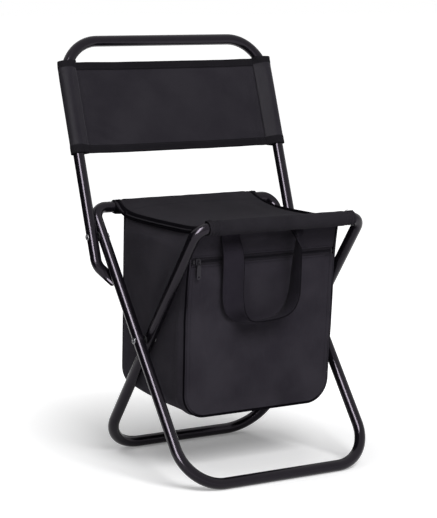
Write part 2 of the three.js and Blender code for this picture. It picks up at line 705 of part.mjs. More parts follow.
// The corded edge round a front or back panel, just outside the panel's edge.
function piping(bottomZ, topZ, faceY) {
  const clear = PIPING_RADIUS + FIT_GAP;
  const half = BAG_HALF_WIDTH + clear;
  const rows = panelRows(bottomZ - clear, topZ, half, BAG_CORNER_RADIUS + clear);
  const right = rows.map(({ z, half: x }) => new THREE.Vector3(x, faceY(z), z));
  const left = rows.map(({ z, half: x }) => new THREE.Vector3(-x, faceY(z), z));
  const path = new StationPath([...left.reverse(), ...right], new THREE.Vector3(0, 1, 0));
  return sweep(polygon(PIPING_RADIUS, PIPING_SIDES, 0, THREE.Shape), path);
}

function bag() {
  const group = new THREE.Group();
  const pipingSet = PIPING_RADIUS - FIT_GAP * 2;
  const zipEdge = ZIP_TAPE_WIDTH;
  const yokeRows = steps(ZIP_HEIGHT + zipEdge, bagFrontTopZ(), BAG_HEIGHT_STEPS / 2);
  const yoke = yokeRows.map((z) => ({ z, half: BAG_HALF_WIDTH }));
  const frontRows = panelRows(
    BAG_FRONT_BOTTOM,
    ZIP_HEIGHT - zipEdge,
    BAG_HALF_WIDTH,
    BAG_CORNER_RADIUS,
  );
  const backTop = bagTopZ(BAG_BACK_Y) - (SEAT_HEM_THICKNESS - SEAT_THICKNESS) / 2 - FIT_GAP;
  const backRows = panelRows(BAG_BACK_BOTTOM, backTop, BAG_HALF_WIDTH, BAG_CORNER_RADIUS);
  const backY = () => BAG_BACK_Y - BAG_WALL;
  named("bag_front_panel", bagPanel(frontRows, bagFrontY, BAG_WALL), fabric, group);
  named("bag_front_yoke", bagPanel(yoke, bagFrontY, BAG_WALL), fabric, group);
  named("bag_back_panel", bagPanel(backRows, backY, BAG_WALL), fabric, group);
  named("bag_side_left", wrapSheet("left", 0, BAG_WALL), fabric, group);
  named("bag_side_right", wrapSheet("right", 0, BAG_WALL), fabric, group);
  named("bag_base", wrapSheet("base", 0, BAG_WALL), fabric, group);
  const pipingTop = bagFrontTopZ() - PIPING_RADIUS / 2;
  const frontPiping = piping(BAG_FRONT_BOTTOM, pipingTop, (z) => bagFrontY(z) + pipingSet);
  const backPiping = piping(BAG_BACK_BOTTOM, backTop, () => BAG_BACK_Y - pipingSet);
  named("bag_front_piping", frontPiping, binding, group);
  named("bag_back_piping", backPiping, binding, group);
  return group;
}

// The foil lining, a thin skin inside each wall of the bag.
function lining() {
  const group = new THREE.Group();
  const wallIn = BAG_WALL + FIT_GAP;
  const skinIn = wallIn + LINER_THICKNESS + FIT_GAP;
  const half = BAG_HALF_WIDTH - skinIn;
  const radius = BAG_CORNER_RADIUS - skinIn;
  const zipBottom = ZIP_HEIGHT - ZIP_TAPE_WIDTH;
  const frontRows = panelRows(BAG_FRONT_BOTTOM + skinIn, zipBottom, half, radius);
  const backTop = bagTopZ(BAG_BACK_Y) - SEAT_HEM_THICKNESS;
  const backRows = panelRows(BAG_BACK_BOTTOM + skinIn, backTop, half, radius);
  const frontY = (z) => bagFrontY(z) + wallIn;
  const backY = () => BAG_BACK_Y - wallIn - LINER_THICKNESS;
  named("liner_front", bagPanel(frontRows, frontY, LINER_THICKNESS), foil, group);
  named("liner_back", bagPanel(backRows, backY, LINER_THICKNESS), foil, group);
  named("liner_wrap", wrapSheet("whole", wallIn, LINER_THICKNESS), foil, group);
  return group;
}

// The zip: two tapes with their teeth, an end stop at each end, and the slider with its puller.
function zip() {
  const group = new THREE.Group();
  const face = bagFrontY(ZIP_HEIGHT) + FIT_GAP;
  const half = BAG_HALF_WIDTH;
  const seam = FIT_GAP / 2;
  const teethFace = face - ZIP_TEETH_RISE;
  const tape = (up) => {
    const z = (distance) => ZIP_HEIGHT + up * distance;
    const outline = [
      [face, z(ZIP_TAPE_WIDTH - FIT_GAP)],
      [face, z(seam + ZIP_TEETH_WIDTH)],
      [teethFace, z(seam + ZIP_TEETH_WIDTH)],
      [teethFace, z(seam)],
      [face + ZIP_TAPE_THICKNESS, z(seam)],
      [face + ZIP_TAPE_THICKNESS, z(ZIP_TAPE_WIDTH - FIT_GAP)],
    ];
    return welded(alongX(outlineShape(outline), -half, half));
  };
  named("zip_tape_upper", tape(1), binding, group);
  named("zip_tape_lower", tape(-1), binding, group);
  const onTeeth = teethFace - FIT_GAP;
  const stopX = half - ZIP_END_MARGIN;
  const stopY = onTeeth - ZIP_STOP_THICKNESS / 2;
  ["left", "right"].forEach((side, i) => {
    const stop = new THREE.BoxGeometry(ZIP_STOP_WIDTH, ZIP_STOP_THICKNESS, ZIP_STOP_HEIGHT);
    const mesh = named("zip_stop_" + side, stop, darkMetal, group);
    mesh.position.set(lerp(-stopX, stopX, i), stopY, ZIP_HEIGHT);
  });
  const sliderX = -stopX + ZIP_STOP_WIDTH / 2 + SLIDER_END_GAP + SLIDER_WIDTH / 2;
  const carriage = new THREE.Group();
  carriage.position.set(sliderX, onTeeth, ZIP_HEIGHT);
  named("zip_slider", sliderBody(), darkMetal, carriage);
  const pull = named("zip_puller", puller(), darkMetal, carriage);
  pull.position.y = -SLIDER_THICKNESS - ARCH_OPENING_DEPTH / 2;
  group.add(carriage);
  return group;
}

function outlineShape(points) {
  return new THREE.Shape(points.map(([x, y]) => new THREE.Vector2(x, y)));
}

// The slider: a plate over the teeth with an arch in front that the puller hangs from.
function sliderBody() {
  const plate = new THREE.BoxGeometry(SLIDER_WIDTH, SLIDER_THICKNESS, SLIDER_HEIGHT);
  plate.translate(0, -SLIDER_THICKNESS / 2, 0);
  const face = -SLIDER_THICKNESS;
  const root = face / 2;
  const openingTop = ARCH_OPENING_HEIGHT / 2;
  const archTop = openingTop + ARCH_THICKNESS;
  const openingFace = face - ARCH_OPENING_DEPTH;
  const archFace = openingFace - ARCH_THICKNESS;
  const arch = outlineShape([
    [root, archTop],
    [archFace, archTop],
    [archFace, -archTop],
    [root, -archTop],
    [root, -openingTop],
    [openingFace, -openingTop],
    [openingFace, openingTop],
    [root, openingTop],
  ]);
  return join([plate, alongX(arch, -ARCH_WIDTH / 2, ARCH_WIDTH / 2)]);
}

// The puller: a flat tab with an eye, hanging from its top bar.
function puller() {
  const half = PULLER_WIDTH / 2;
  const top = PULLER_THICKNESS / 2;
  const tab = new THREE.Shape();
  tab.moveTo(-half, top);
  tab.lineTo(-half, top - PULLER_LENGTH + half);
  tab.absarc(0, top - PULLER_LENGTH + half, half, HALF_TURN, 2 * HALF_TURN);
  tab.lineTo(half, top);
  tab.closePath();
  const eye = outlineShape([
    [-PULLER_EYE_WIDTH / 2, -top],
    [-PULLER_EYE_WIDTH / 2, -top - PULLER_EYE_HEIGHT],
    [PULLER_EYE_WIDTH / 2, -top - PULLER_EYE_HEIGHT],
    [PULLER_EYE_WIDTH / 2, -top],
  ]);
  tab.holes.push(eye);
  const plate = new THREE.ExtrudeGeometry(tab, {
    depth: PULLER_THICKNESS,
    bevelEnabled: false,
    curveSegments: TUBE_SIDES / 2,
  });
  plate.translate(0, 0, -PULLER_THICKNESS / 2);
  return plate.rotateX(HALF_TURN / 2);
}

// Where the strap's middle line runs, as shares: across from its middle, down its drop, and how far
// its width has turned from lying along the bag to standing out from it.
const STRAP_ROUTE_SHARES = [
  [-1, 0, 0],
  [-1, 0.12, 0.25],
  [-1, 0.25, 0.38],
  [-1, 0.5, 0.4],
  [-0.94, 0.75, 0.55],
  [-0.74, 0.93, 0.85],
  [-0.38, 1, 1],
  [0.02, 0.98, 1],
  [0.4, 0.92, 1],
  [0.74, 0.8, 1],
  [0.94, 0.63, 0.97],
  [1, 0.45, 0.9],
  [1, 0.25, 0.85],
  [1, 0.12, 0.5],
  [1, 0, 0],
];

// The strap's middle line, with the direction of its width at each station.
function strapStations() {
  const middle = (STRAP_LEFT + STRAP_RIGHT) / 2;
  const reach = (STRAP_RIGHT - STRAP_LEFT) / 2;
  const route = new THREE.CatmullRomCurve3(
    STRAP_ROUTE_SHARES.map(
      ([across, down, turn]) =>
        new THREE.Vector3(middle + across * reach, turn, STRAP_TOP - down * STRAP_HANG),
    ),
  );
  return route.getPoints(STRAP_STATIONS).map(({ x, y: turnShare, z }) => {
    const turn = (Math.max(0, turnShare) * HALF_TURN) / 2;
    const rise = THREE.MathUtils.smoothstep(STRAP_TOP - z, 0, STRAP_RISE);
    const gap = lerp(STRAP_SEAM_GAP, STRAP_HAND_GAP, rise);
    const standOff = gap + (STRAP_WIDTH / 2) * Math.sin(turn);
    return {
      point: new THREE.Vector3(x, bagFrontY(z) - standOff, z),
      width: new THREE.Vector3(Math.cos(turn), -Math.sin(turn), 0),
    };
  });
}

function strap() {
  const stations = strapStations();
  const path = new StationPath(stations.map(({ point }) => point), new THREE.Vector3(0, 1, 0));
  const side = (offset) =>
    stations.map(({ point, width }, i) => {
      const tangent = path.tangentAt(i);
      const across = width.clone().addScaledVector(tangent, -width.dot(tangent)).normalize();
      const out = new THREE.Vector3().crossVectors(across, tangent);
      const edges = [-STRAP_WIDTH / 2, STRAP_WIDTH / 2];
      const centre = point.clone().addScaledVector(out, offset);
      return edges.map((reach) => centre.clone().addScaledVector(across, reach));
    });
  const group = new THREE.Group();
  named("carry_strap", shell(side(-STRAP_THICKNESS / 2), side(STRAP_THICKNESS / 2)), webbing, group);
  return group;
}

// Evenly spaced values from one number to another, both included.
function steps(from, to, count) {
  return Array.from({ length: count + 1 }, (_, k) => lerp(from, to, k / count));
}

const stool = new THREE.Group();
stool.position.y = DEPTH_SHIFT;
stool.add(outerFrame(), innerFrame(), backrest(), seat(), bag(), lining(), zip(), strap());

export default stool;
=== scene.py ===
"""Folding cooler stool: the looks of its pieces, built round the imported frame.

Metres. +Z is up, -Y is the front of the seat, and +X is to the right seen from the front.
"""

import json
import math

import bpy
import numpy as np
from mathutils import Matrix, Vector, noise

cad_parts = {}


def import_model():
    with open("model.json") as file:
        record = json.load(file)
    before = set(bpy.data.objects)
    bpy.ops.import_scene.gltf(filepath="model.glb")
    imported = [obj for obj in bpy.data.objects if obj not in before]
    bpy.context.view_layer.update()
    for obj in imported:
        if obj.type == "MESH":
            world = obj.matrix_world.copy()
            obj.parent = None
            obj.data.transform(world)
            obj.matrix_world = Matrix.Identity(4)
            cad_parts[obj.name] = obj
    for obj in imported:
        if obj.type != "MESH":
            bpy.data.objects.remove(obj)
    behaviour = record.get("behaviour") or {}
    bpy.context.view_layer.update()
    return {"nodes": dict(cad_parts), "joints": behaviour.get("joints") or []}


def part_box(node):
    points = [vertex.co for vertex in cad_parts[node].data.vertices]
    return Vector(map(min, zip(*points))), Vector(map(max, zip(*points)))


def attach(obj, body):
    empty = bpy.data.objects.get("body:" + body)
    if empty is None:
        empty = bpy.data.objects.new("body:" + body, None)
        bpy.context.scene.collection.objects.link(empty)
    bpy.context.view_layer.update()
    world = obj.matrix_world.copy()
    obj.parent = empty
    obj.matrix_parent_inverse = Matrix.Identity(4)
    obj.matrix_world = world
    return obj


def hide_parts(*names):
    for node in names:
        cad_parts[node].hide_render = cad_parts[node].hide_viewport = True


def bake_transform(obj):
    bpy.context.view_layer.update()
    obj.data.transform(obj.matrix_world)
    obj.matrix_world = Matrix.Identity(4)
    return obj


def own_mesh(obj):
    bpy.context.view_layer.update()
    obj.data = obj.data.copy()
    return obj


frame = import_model()

MM = 0.001

# Tube stock and the crossed frames
TUBE_RADIUS = 8 * MM
TUBE_WALL = 1 * MM
TUBE_SIDES = 40
BEND_STEP = math.radians(4)
INNER_WIDTH = 276 * MM
SIDE_GAP = 2 * MM
OUTER_WIDTH = INNER_WIDTH + 2 * (2 * TUBE_RADIUS + SIDE_GAP)
BACKREST_WIDTH = OUTER_WIDTH + 2 * (2 * TUBE_RADIUS + SIDE_GAP)
OUTER_LEAN = math.radians(36.9)
INNER_LEAN = math.radians(34.5)
FOOT_BEND_RADIUS = 60 * MM
RAIL_BEND_RADIUS = 19 * MM
TUBE_JOINT_GAP = 0.6 * MM

# Rivets, washers and plugs
FIT_GAP = 0.3 * MM
RIVET_RADIUS = 2.9 * MM
RIVET_HEAD_RADIUS = 4.5 * MM
RIVET_HEAD_HEIGHT = 1.6 * MM
RIVET_TAIL_RADIUS = 4 * MM
RIVET_TAIL_HEIGHT = 1.1 * MM
# Points of the rivet's tail and of the dimple in its head, as shares of their height and radius
RIVET_TAIL_SHARES = ((1, 0), (1, 0.55), (0.8, 0.85), (0.4, 1), (0, 1))
RIVET_DIMPLE_SHARES = ((0.6, 0.72), (0.2, 0.567), (0.35, 0.441), (1.3, 0.336), (1.5, 0))
WASHER_RADIUS = 7 * MM
WASHER_EDGE = 0.35 * MM
PLUG_INSERT = 12 * MM
PLUG_HEAD = 3 * MM
TURNED_SIDES = 48

# Backrest hoop and its fabric, measured in the hoop's own leaned frame
RECLINE = math.radians(19.5)
BACKREST_HEIGHT = 288 * MM
BACKREST_BEND_RADIUS = 60 * MM
TAIL_DROP = 41.5 * MM
TAIL_LENGTH = 34 * MM
TAIL_BEND = math.radians(44)
TAIL_BEND_RADIUS = 22 * MM
TAIL_END_X = BACKREST_WIDTH / 2 - TAIL_LENGTH * math.sin(TAIL_BEND)
TAIL_END_Z = -TAIL_DROP - TAIL_LENGTH * math.cos(TAIL_BEND)
PANEL_TOP = BACKREST_HEIGHT - 30 * MM
PANEL_BOTTOM = PANEL_TOP - 136 * MM
PANEL_BULGE = 8 * MM
PANEL_SEAM_IN = 19 * MM
POST_X = BACKREST_WIDTH / 2
SEAM_X = POST_X - PANEL_SEAM_IN
SEAM_BACK = 2 * MM
SLEEVE_RADIUS = 9.7 * MM
# The crease near the panel's lower left corner
CREASE_X = -125 * MM
CREASE_RISE = 20 * MM
CREASE_REACH = 30 * MM
CREASE_DEPTH = 0.8 * MM
CLOTH = 1.1 * MM
SLEEVE_CLOTH = 0.8 * CLOTH
CLOTH_FACE = 0.55 * CLOTH
HEM_HEIGHT = 12 * MM
HEM_THICKNESS = 3.6 * MM
HEM_BULK = 0.86 * HEM_THICKNESS
HEM_FACE = 0.44 * HEM_THICKNESS
HEM_LIP = 0.6 * MM
HEM_SEAM_RISE = HEM_HEIGHT - 2.4 * MM
# How far inside the panel's edge the two seams of a sleeve run
SLEEVE_SEAMS = (2.5 * MM, 4.5 * MM)
HEM_FOLD_SHARE = 0.14
POCKET_STEPS = 8
HEM_STEPS = 5

# Seat
SEAT_WIDTH = 250 * MM
SEAT_SAG = 16 * MM
SEAT_EDGE_SAG = 17.5 * MM
SEAT_EDGE_POWER = 4.5
SEAT_LEFT_SAG = 19 * MM
SEAT_LEFT_POWER = 7
SEAT_SEAM_DROP = 1.6 * MM
SEAT_HEM_WIDTH = 11 * MM
SEAT_LEFT_DROOP = math.radians(58)
SEAT_RIGHT_DROOP = math.radians(36)
PUCKER_REACH = 20 * MM
PUCKER_PITCH = 5.1 * MM
SPAN_STEPS = 60
SEAT_HEM_THICKNESS = 4.6 * MM
POCKET_RADIUS = 10.6 * MM
POCKET_DEPTH = 30 * MM
PUCKER_RADIUS = 9.7 * MM
POCKET_SEAM_GAP = 3 * MM
SEAT_EDGE_IN = 2 * MM
# How far outwards from the inner edge of each side hem its seam runs
SEAT_HEM_SEAM_IN = 2.2 * MM
SEAT_HEM_SEAM_LIFT = 0.4 * SEAT_HEM_THICKNESS

# Insulated bag
BAG_HALF_WIDTH = 120.5 * MM
BAG_SIDE_BULGE = 6 * MM
TOP_TUCK = 8 * MM
# The rivets' inner heads stand out from the legs, so the band keeps clear of them too
LEG_CLEARANCE = 1.7 * MM
BAG_BOW = 4.5 * MM
BAG_BOW_HEIGHT = 232 * MM
BAG_BOW_REACH = 75 * MM
BULGE_POWER = 0.5
BAG_FRONT_INSET = 49.5 * MM
BAG_FRONT_FLARE = 18 * MM
BAG_FLARE_DROP = 160 * MM
BAG_BACK_INSET = 31 * MM
BAG_FRONT_DROP = 271 * MM
BAG_BACK_DROP = 260 * MM
BAG_CORNER_RADIUS = 32 * MM
CORNER_ROWS = 22
BAG_WALL = 3 * MM
BAG_SKIN = 0.9 * BAG_WALL
BAND_FACE_IN = 1.2 * MM
# Past this share of its half width the bag's band is its side, and before it its base
SIDE_SHARE = 0.8
LINER_GAP = 0.5 * MM
LINER_THICKNESS = 0.4 * MM
PIPING_RADIUS = 1.8 * MM
PANEL_PUFF = 5 * MM
# Dents of the front panel, in millimetres: how far out, X, Z, half width and half height, and the turn
FRONT_DENTS = (
    (-1.6, 18, 198, 52, 12, 0.12), (1.3, -45, 160, 40, 36, 0), (-1.2, 85, 135, 30, 44, 0),
)
# Folds of the bag's sides in the same form, with the distance behind the front panel for X
SIDE_FOLDS = (
    (4.0, 30, 290, 34, 5.5, -0.9), (-2.6, 42, 284, 34, 5.5, -0.9), (2.3, 34, 248, 30, 6, -1.05),
    (-2.4, 50, 240, 36, 7, -1.05), (6, 11, 170, 110, 4.5, math.pi / 2), (1.2, 105, 300, 30, 10, 0.6),
)
# Swells of the bag's sides, in millimetres: how far out, the drop below the rail and the half height
SIDE_SWELLS = ((7, 42, 24), (-4, 105, 34))
# The yoke's level folds, deepest at one height and fading across and up
YOKE_FOLD_DEPTH = 1.9 * MM
YOKE_FOLD_HEIGHT = 333 * MM
YOKE_FOLD_START = 330 * MM
YOKE_FOLD_PITCH = 3.9 * MM
YOKE_FOLD_REACH = 85 * MM
YOKE_FOLD_RISE = 12 * MM

# Zip
ZIP_DROP = 52 * MM
ZIP_TAPE_WIDTH = 6 * MM
TAPE_LAP = 0.8 * MM
TAPE_THICKNESS = 0.8 * MM
TOOTH_PITCH = 1.5 * MM
TOOTH_SIZE = Vector((0.56, 1.15, 1.5)) * MM
TOOTH_OFFSET = 0.45 * MM
# The slider's plate, in shares of its width and height, and the upper half of its bridge's line in
# millimetres: how far out, and up
PLATE_SHARES = (
    (-0.5, 0.18), (-0.42, 0.42), (-0.2, 0.5), (0.2, 0.42), (0.46, 0.3), (0.5, 0),
    (0.46, -0.3), (0.2, -0.42), (-0.2, -0.5), (-0.42, -0.42), (-0.5, -0.18),
)
BRIDGE_LINE = ((1.4, 2.9), (2.6, 2.9), (4.1, 2.6), (4.75, 1.6), (4.8, 0))
PULLER_NECK = 5.5 * MM
PULLER_SHOULDER = 8.5 * MM
PULLER_HOLE_RADIUS = 1.5 * MM

# Carry strap
STRAP_WIDTH = 30 * MM
STRAP_THICKNESS = 2 * MM
WEBBING_THICKNESS = 0.9 * STRAP_THICKNESS
STRAP_TOP_DROP = 15 * MM
STRAP_STATIONS = 190
SPLINE_STEPS = 24
STRAP_SEAM_GAP = 1.5 * MM
STRAP_HAND_GAP = 8.5 * MM
STRAP_RISE = 30 * MM
STRAP_CUP = 1.8 * MM
STRAP_SHIFT = -2 * MM
# The sewn ends are tucked in under the seam, below the seat sleeve
STRAP_END = 351 * MM
STRAP_SEAM_ROOM = 3.5 * MM
STRAP_COLUMNS = 24
STRAP_SEAM_COLUMN = 2
STRAP_CROSS_START = 4
STRAP_CROSS_ROWS = 14

# Steps of the cloth grids and of the seams over them
SLEEVE_ROWS = 56
PANEL_COLUMNS = 130
PANEL_ROWS = 64
BACKREST_HEM_ROWS = 150
SEAT_COLUMNS = 90
PUCKER_COLUMNS = 30
SEAT_HEM_ROWS = 72
BAG_COLUMNS = 90
YOKE_ROWS = 34
BAND_ROWS = 54
PIPING_SIDES = 14
SEAM_STEPS = 90

# Thread
STITCH_LENGTH = 2.7 * MM
STITCH_PITCH = 3.5 * MM
STITCH_RADIUS = 0.32 * MM
STITCH_SIDES = 6
# Along a stitch: shares of its length, and of its radius for its lift and its thickness
STITCH_SHARES = (
    (-0.5, -0.8, 0.55), (-0.28, 0.1, 0.95), (0, 0.35, 1), (0.28, 0.1, 0.95), (0.5, -0.8, 0.55),
)
SEAM_LIFT = 0.1 * MM


# Places taken from the frame

joints = {joint["name"]: joint for joint in frame["joints"]}


def middle_of(node):
    low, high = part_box(node)
    return (low + high) / 2


FRAME_PIVOT = Vector(joints["frame_fold"]["pos_m"])
BACKREST_PIVOT = Vector(joints["backrest_fold"]["pos_m"])
REAR_RAIL = Vector(joints["bag_swing"]["pos_m"])
FRONT_RAIL = middle_of("seat_front_sleeve")
RAIL_HEIGHT = REAR_RAIL.z
RAIL_RISE = RAIL_HEIGHT - FRAME_PIVOT.z
FOOT_FALL = FRAME_PIVOT.z - TUBE_RADIUS
BAG_FRONT_Y = FRONT_RAIL.y + BAG_FRONT_INSET
BAG_BACK_Y = REAR_RAIL.y - BAG_BACK_INSET
ZIP_HEIGHT = RAIL_HEIGHT - ZIP_DROP
STRAP_TOP = RAIL_HEIGHT - STRAP_TOP_DROP
PULLER_AXIS = Vector(joints["puller_swing"]["pos_m"])

SEAT_SLOPE = math.atan(4 * SEAT_SAG / (REAR_RAIL.y - FRONT_RAIL.y))
SEAT_FRONT_Y = FRONT_RAIL.y + POCKET_RADIUS * math.sin(SEAT_SLOPE)
SEAT_BACK_Y = REAR_RAIL.y - POCKET_RADIUS * math.sin(SEAT_SLOPE)
SEAT_EDGE_Z = RAIL_HEIGHT + POCKET_RADIUS * math.cos(SEAT_SLOPE)


def lerp(a, b, share):
    return a + (b - a) * share


def clamp(value, low=0.0, high=1.0):
    return max(low, min(high, value))


def smoothstep(value, low, high):
    share = clamp((value - low) / (high - low))
    return share * share * (3 - 2 * share)


def spaced(start, end, count):
    return [lerp(start, end, k / count) for k in range(count + 1)]


def soft_dent(x, z, at_x, at_z, width, height, angle=0.0):
    """A smooth round or long dent, 1 at its middle."""
    dx, dz = x - at_x, z - at_z
    along = dx * math.cos(angle) + dz * math.sin(angle)
    across = -dx * math.sin(angle) + dz * math.cos(angle)
    return math.exp(-(along / width) ** 2 - (across / height) ** 2)


def ripple(u, v, seed=0.0):
    """Smooth noise from about -1 to 1 at a place given in its own wavelengths."""
    return noise.noise(Vector((u, v, seed)))


def leaned(origin, lean):
    """The matrix of a frame whose z axis leans back towards +Y."""
    return Matrix.Translation(origin) @ Matrix.Rotation(-lean, 4, "X")


OUTER = leaned(FRAME_PIVOT, OUTER_LEAN)
INNER = leaned(FRAME_PIVOT, -INNER_LEAN)
BACKREST = leaned(BACKREST_PIVOT, RECLINE)


def seat_z(y):
    share = (y - SEAT_FRONT_Y) / (SEAT_BACK_Y - SEAT_FRONT_Y)
    return SEAT_EDGE_Z - 4 * SEAT_SAG * share * (1 - share)


def seat_share(y):
    return clamp((y - SEAT_FRONT_Y) / (SEAT_BACK_Y - SEAT_FRONT_Y))


def seat_edge_z(x, y):
    """The slack side edges: they drop soon behind each rail and then run nearly level."""
    left = smoothstep(-x, -60 * MM, 60 * MM)
    power = lerp(SEAT_EDGE_POWER, SEAT_LEFT_POWER, left)
    sag = lerp(SEAT_EDGE_SAG, SEAT_LEFT_SAG, left)
    return SEAT_EDGE_Z - sag * (1 - abs(2 * seat_share(y) - 1) ** power)


def seat_surface(x, y):
    """The height of the seat cloth over a place of the span, with soft waves and pulls."""
    hollow = math.sin(math.pi * seat_share(y))
    slack = math.exp(-(SEAT_WIDTH / 2 - abs(x)) / (30 * MM))
    pulls = 0.9 * MM * ripple(x / (20 * MM), seat_share(y) * 1.2, 2.2) * math.sqrt(hollow)
    waves = 1.5 * MM * ripple(x / (64 * MM), y / (80 * MM), 4.4) * hollow
    level = lerp(seat_z(clamp(y, SEAT_FRONT_Y, SEAT_BACK_Y)), seat_edge_z(x, y), slack)
    return level - pulls * (1 - 0.6 * hollow) - waves


def bag_front_y(z):
    share = max(0.0, 1 - (RAIL_HEIGHT - z) / BAG_FLARE_DROP)
    return BAG_FRONT_Y - BAG_FRONT_FLARE * share ** 2


def bag_top_z(x, y):
    """Where the bag meets the seat's underside."""
    return seat_surface(x, y) - 2 * FIT_GAP - CLOTH


BACK_TOP = bag_top_z(BAG_HALF_WIDTH, BAG_BACK_Y) - MM
ZIP_FACE = bag_front_y(ZIP_HEIGHT) + FIT_GAP


# Materials

class Nodes:
    """A node tree with short calls for the nodes that the looks below share."""

    def __init__(self, tree):
        self.tree = tree

    def node(self, kind, **settings):
        made = self.tree.nodes.new(kind)
        for key, value in settings.items():
            setattr(made, key, value)
        return made

    def link(self, output, target):
        self.tree.links.new(output, target)

    def plug(self, value, target):
        if isinstance(value, bpy.types.NodeSocket):
            self.link(value, target)
        else:
            target.default_value = value

    def math(self, operation, a, b=0.0):
        made = self.node("ShaderNodeMath", operation=operation)
        self.plug(a, made.inputs[0])
        self.plug(b, made.inputs[1])
        return made.outputs[0]

    def mix(self, share, a, b):
        made = self.node("ShaderNodeMix", data_type="RGBA")
        self.plug(share, made.inputs[0])
        self.plug(a, made.inputs[6])
        self.plug(b, made.inputs[7])
        return made.outputs[2]

    def ranged(self, value, low, high, to_low, to_high):
        made = self.node("ShaderNodeMapRange")
        for target, given in zip(made.inputs, (value, low, high, to_low, to_high)):
            self.plug(given, target)
        return made.outputs[0]

    def coordinates(self, kind="Object"):
        return self.node("ShaderNodeTexCoord").outputs[kind]

    def noise(self, wavelength, detail=2.0, where=None, stretch=(1, 1, 1)):
        mapping = self.node("ShaderNodeMapping")
        mapping.inputs["Scale"].default_value = [s / wavelength for s in stretch]
        self.link(where or self.coordinates(), mapping.inputs["Vector"])
        made = self.node("ShaderNodeTexNoise")
        made.inputs["Scale"].default_value = 1
        made.inputs["Detail"].default_value = detail
        self.link(mapping.outputs[0], made.inputs["Vector"])
        return made.outputs[0]

    def bump(self, height, distance, strength=1.0, below=None):
        made = self.node("ShaderNodeBump")
        made.inputs["Strength"].default_value = strength
        made.inputs["Distance"].default_value = distance
        self.link(height, made.inputs["Height"])
        if below:
            self.link(below, made.inputs["Normal"])
        return made.outputs[0]

    def wave(self, across, period):
        """A sine from 0 to 1 along one coordinate."""
        turns = self.math("MULTIPLY", across, 2 * math.pi / period)
        sine = self.math("SINE", turns)
        return self.ranged(sine, -1, 1, 0, 1)

    def seen_white(self):
        """1 for the rays that show the background as it is: those of the camera, gloss and glass."""
        rays = self.node("ShaderNodeLightPath").outputs
        mirrored = self.math("MAXIMUM", rays["Is Glossy Ray"], rays["Is Transmission Ray"])
        return self.math("MAXIMUM", rays["Is Camera Ray"], mirrored)


class Look(Nodes):
    """A node material."""

    def __init__(self, name):
        self.material = bpy.data.materials.new(name)
        self.material.use_nodes = True
        super().__init__(self.material.node_tree)
        self.shader = self.tree.nodes["Principled BSDF"]

    def set(self, **values):
        for key, value in values.items():
            self.plug(value, self.shader.inputs[key.replace("_", " ")])


def color(red, green, blue):
    return (red, green, blue, 1)


def scaled(tone, share):
    return [min(1.0, share * part) for part in tone[:3]] + [1]


def woven(name, base, worn, thread, roughness, sheen, gloss=0.03):
    """Plain-weave cloth. Its threads follow the UV map, which is in metres along the cloth."""
    look = Look(name)
    split = look.node("ShaderNodeSeparateXYZ")
    look.link(look.coordinates("UV"), split.inputs[0])
    across, along = split.outputs[0], split.outputs[1]
    warp = look.wave(across, 2 * thread)
    weft = look.wave(along, 2 * thread)
    checks = look.math("MULTIPLY", look.ranged(warp, 0, 1, -1, 1), look.ranged(weft, 0, 1, -1, 1))
    over = look.math("GREATER_THAN", checks, 0.0)
    ridge_u = look.wave(across, thread)
    ridge_v = look.wave(along, thread)
    threads = look.mix(over, ridge_u, ridge_v)
    cloudy = look.noise(58 * MM, 2.5)
    slub = look.noise(2.2 * MM, 2.0, look.coordinates("UV"), (1, 0.14, 1))
    fade = look.ranged(cloudy, 0.35, 0.65, 0, 1)
    tone = look.mix(fade, base, worn)
    shaded = look.mix(look.ranged(threads, 0, 1, 0.5, 0), tone, scaled(base, 0.62))
    streaked = look.mix(look.ranged(slub, 0.5, 0.75, 0, 0.25), shaded, worn)
    rough = look.ranged(cloudy, 0.3, 0.7, roughness - 0.05, roughness + 0.05)
    coarse = look.bump(look.noise(9 * MM, 2.0), 0.5 * MM, 0.35)
    normal = look.bump(threads, 0.12 * MM, 0.55, coarse)
    look.set(Base_Color=streaked, Roughness=rough, Normal=normal)
    look.set(Sheen_Weight=sheen, Sheen_Roughness=0.5, Specular_IOR_Level=gloss)
    look.shader.inputs["Sheen Tint"].default_value = color(0.62, 0.6, 0.66)
    return look.material


def webbing_look():
    look = Look("strap_webbing")
    split = look.node("ShaderNodeSeparateXYZ")
    look.link(look.coordinates("UV"), split.inputs[0])
    ribs = look.wave(split.outputs[0], 1.5 * MM)
    picks = look.wave(split.outputs[1], 0.9 * MM)
    pattern = look.math("MULTIPLY", ribs, look.ranged(picks, 0, 1, 0.55, 1))
    tone = look.mix(look.ranged(look.noise(18 * MM, 3.0), 0.35, 0.7, 0, 0.5),
                    color(0.0195, 0.0168, 0.0235), color(0.0245, 0.0215, 0.0288))
    shaded = look.mix(look.ranged(pattern, 0, 1, 0.4, 0), tone, color(0.008, 0.007, 0.010))
    # Painted shade along both edges of the webbing: its outermost tenths of a millimetre are painted near
    # black, so that its edges read as shaded instead of lit.
    off_middle = look.math("ABSOLUTE", look.math("SUBTRACT", split.outputs[0], STRAP_WIDTH / 2))
    painted_edge_shade = look.ranged(off_middle, STRAP_WIDTH / 2 - 0.8 * MM, STRAP_WIDTH / 2 - 0.2 * MM, 0, 0.9)
    shaded = look.mix(painted_edge_shade, shaded, color(0.003, 0.0026, 0.004))
    look.set(Base_Color=shaded, Roughness=look.ranged(pattern, 0, 1, 0.88, 0.74))
    look.set(Normal=look.bump(pattern, 0.25 * MM, 0.6), Sheen_Weight=0.02, Sheen_Roughness=0.4)
    look.set(Specular_IOR_Level=0.02)
    return look.material


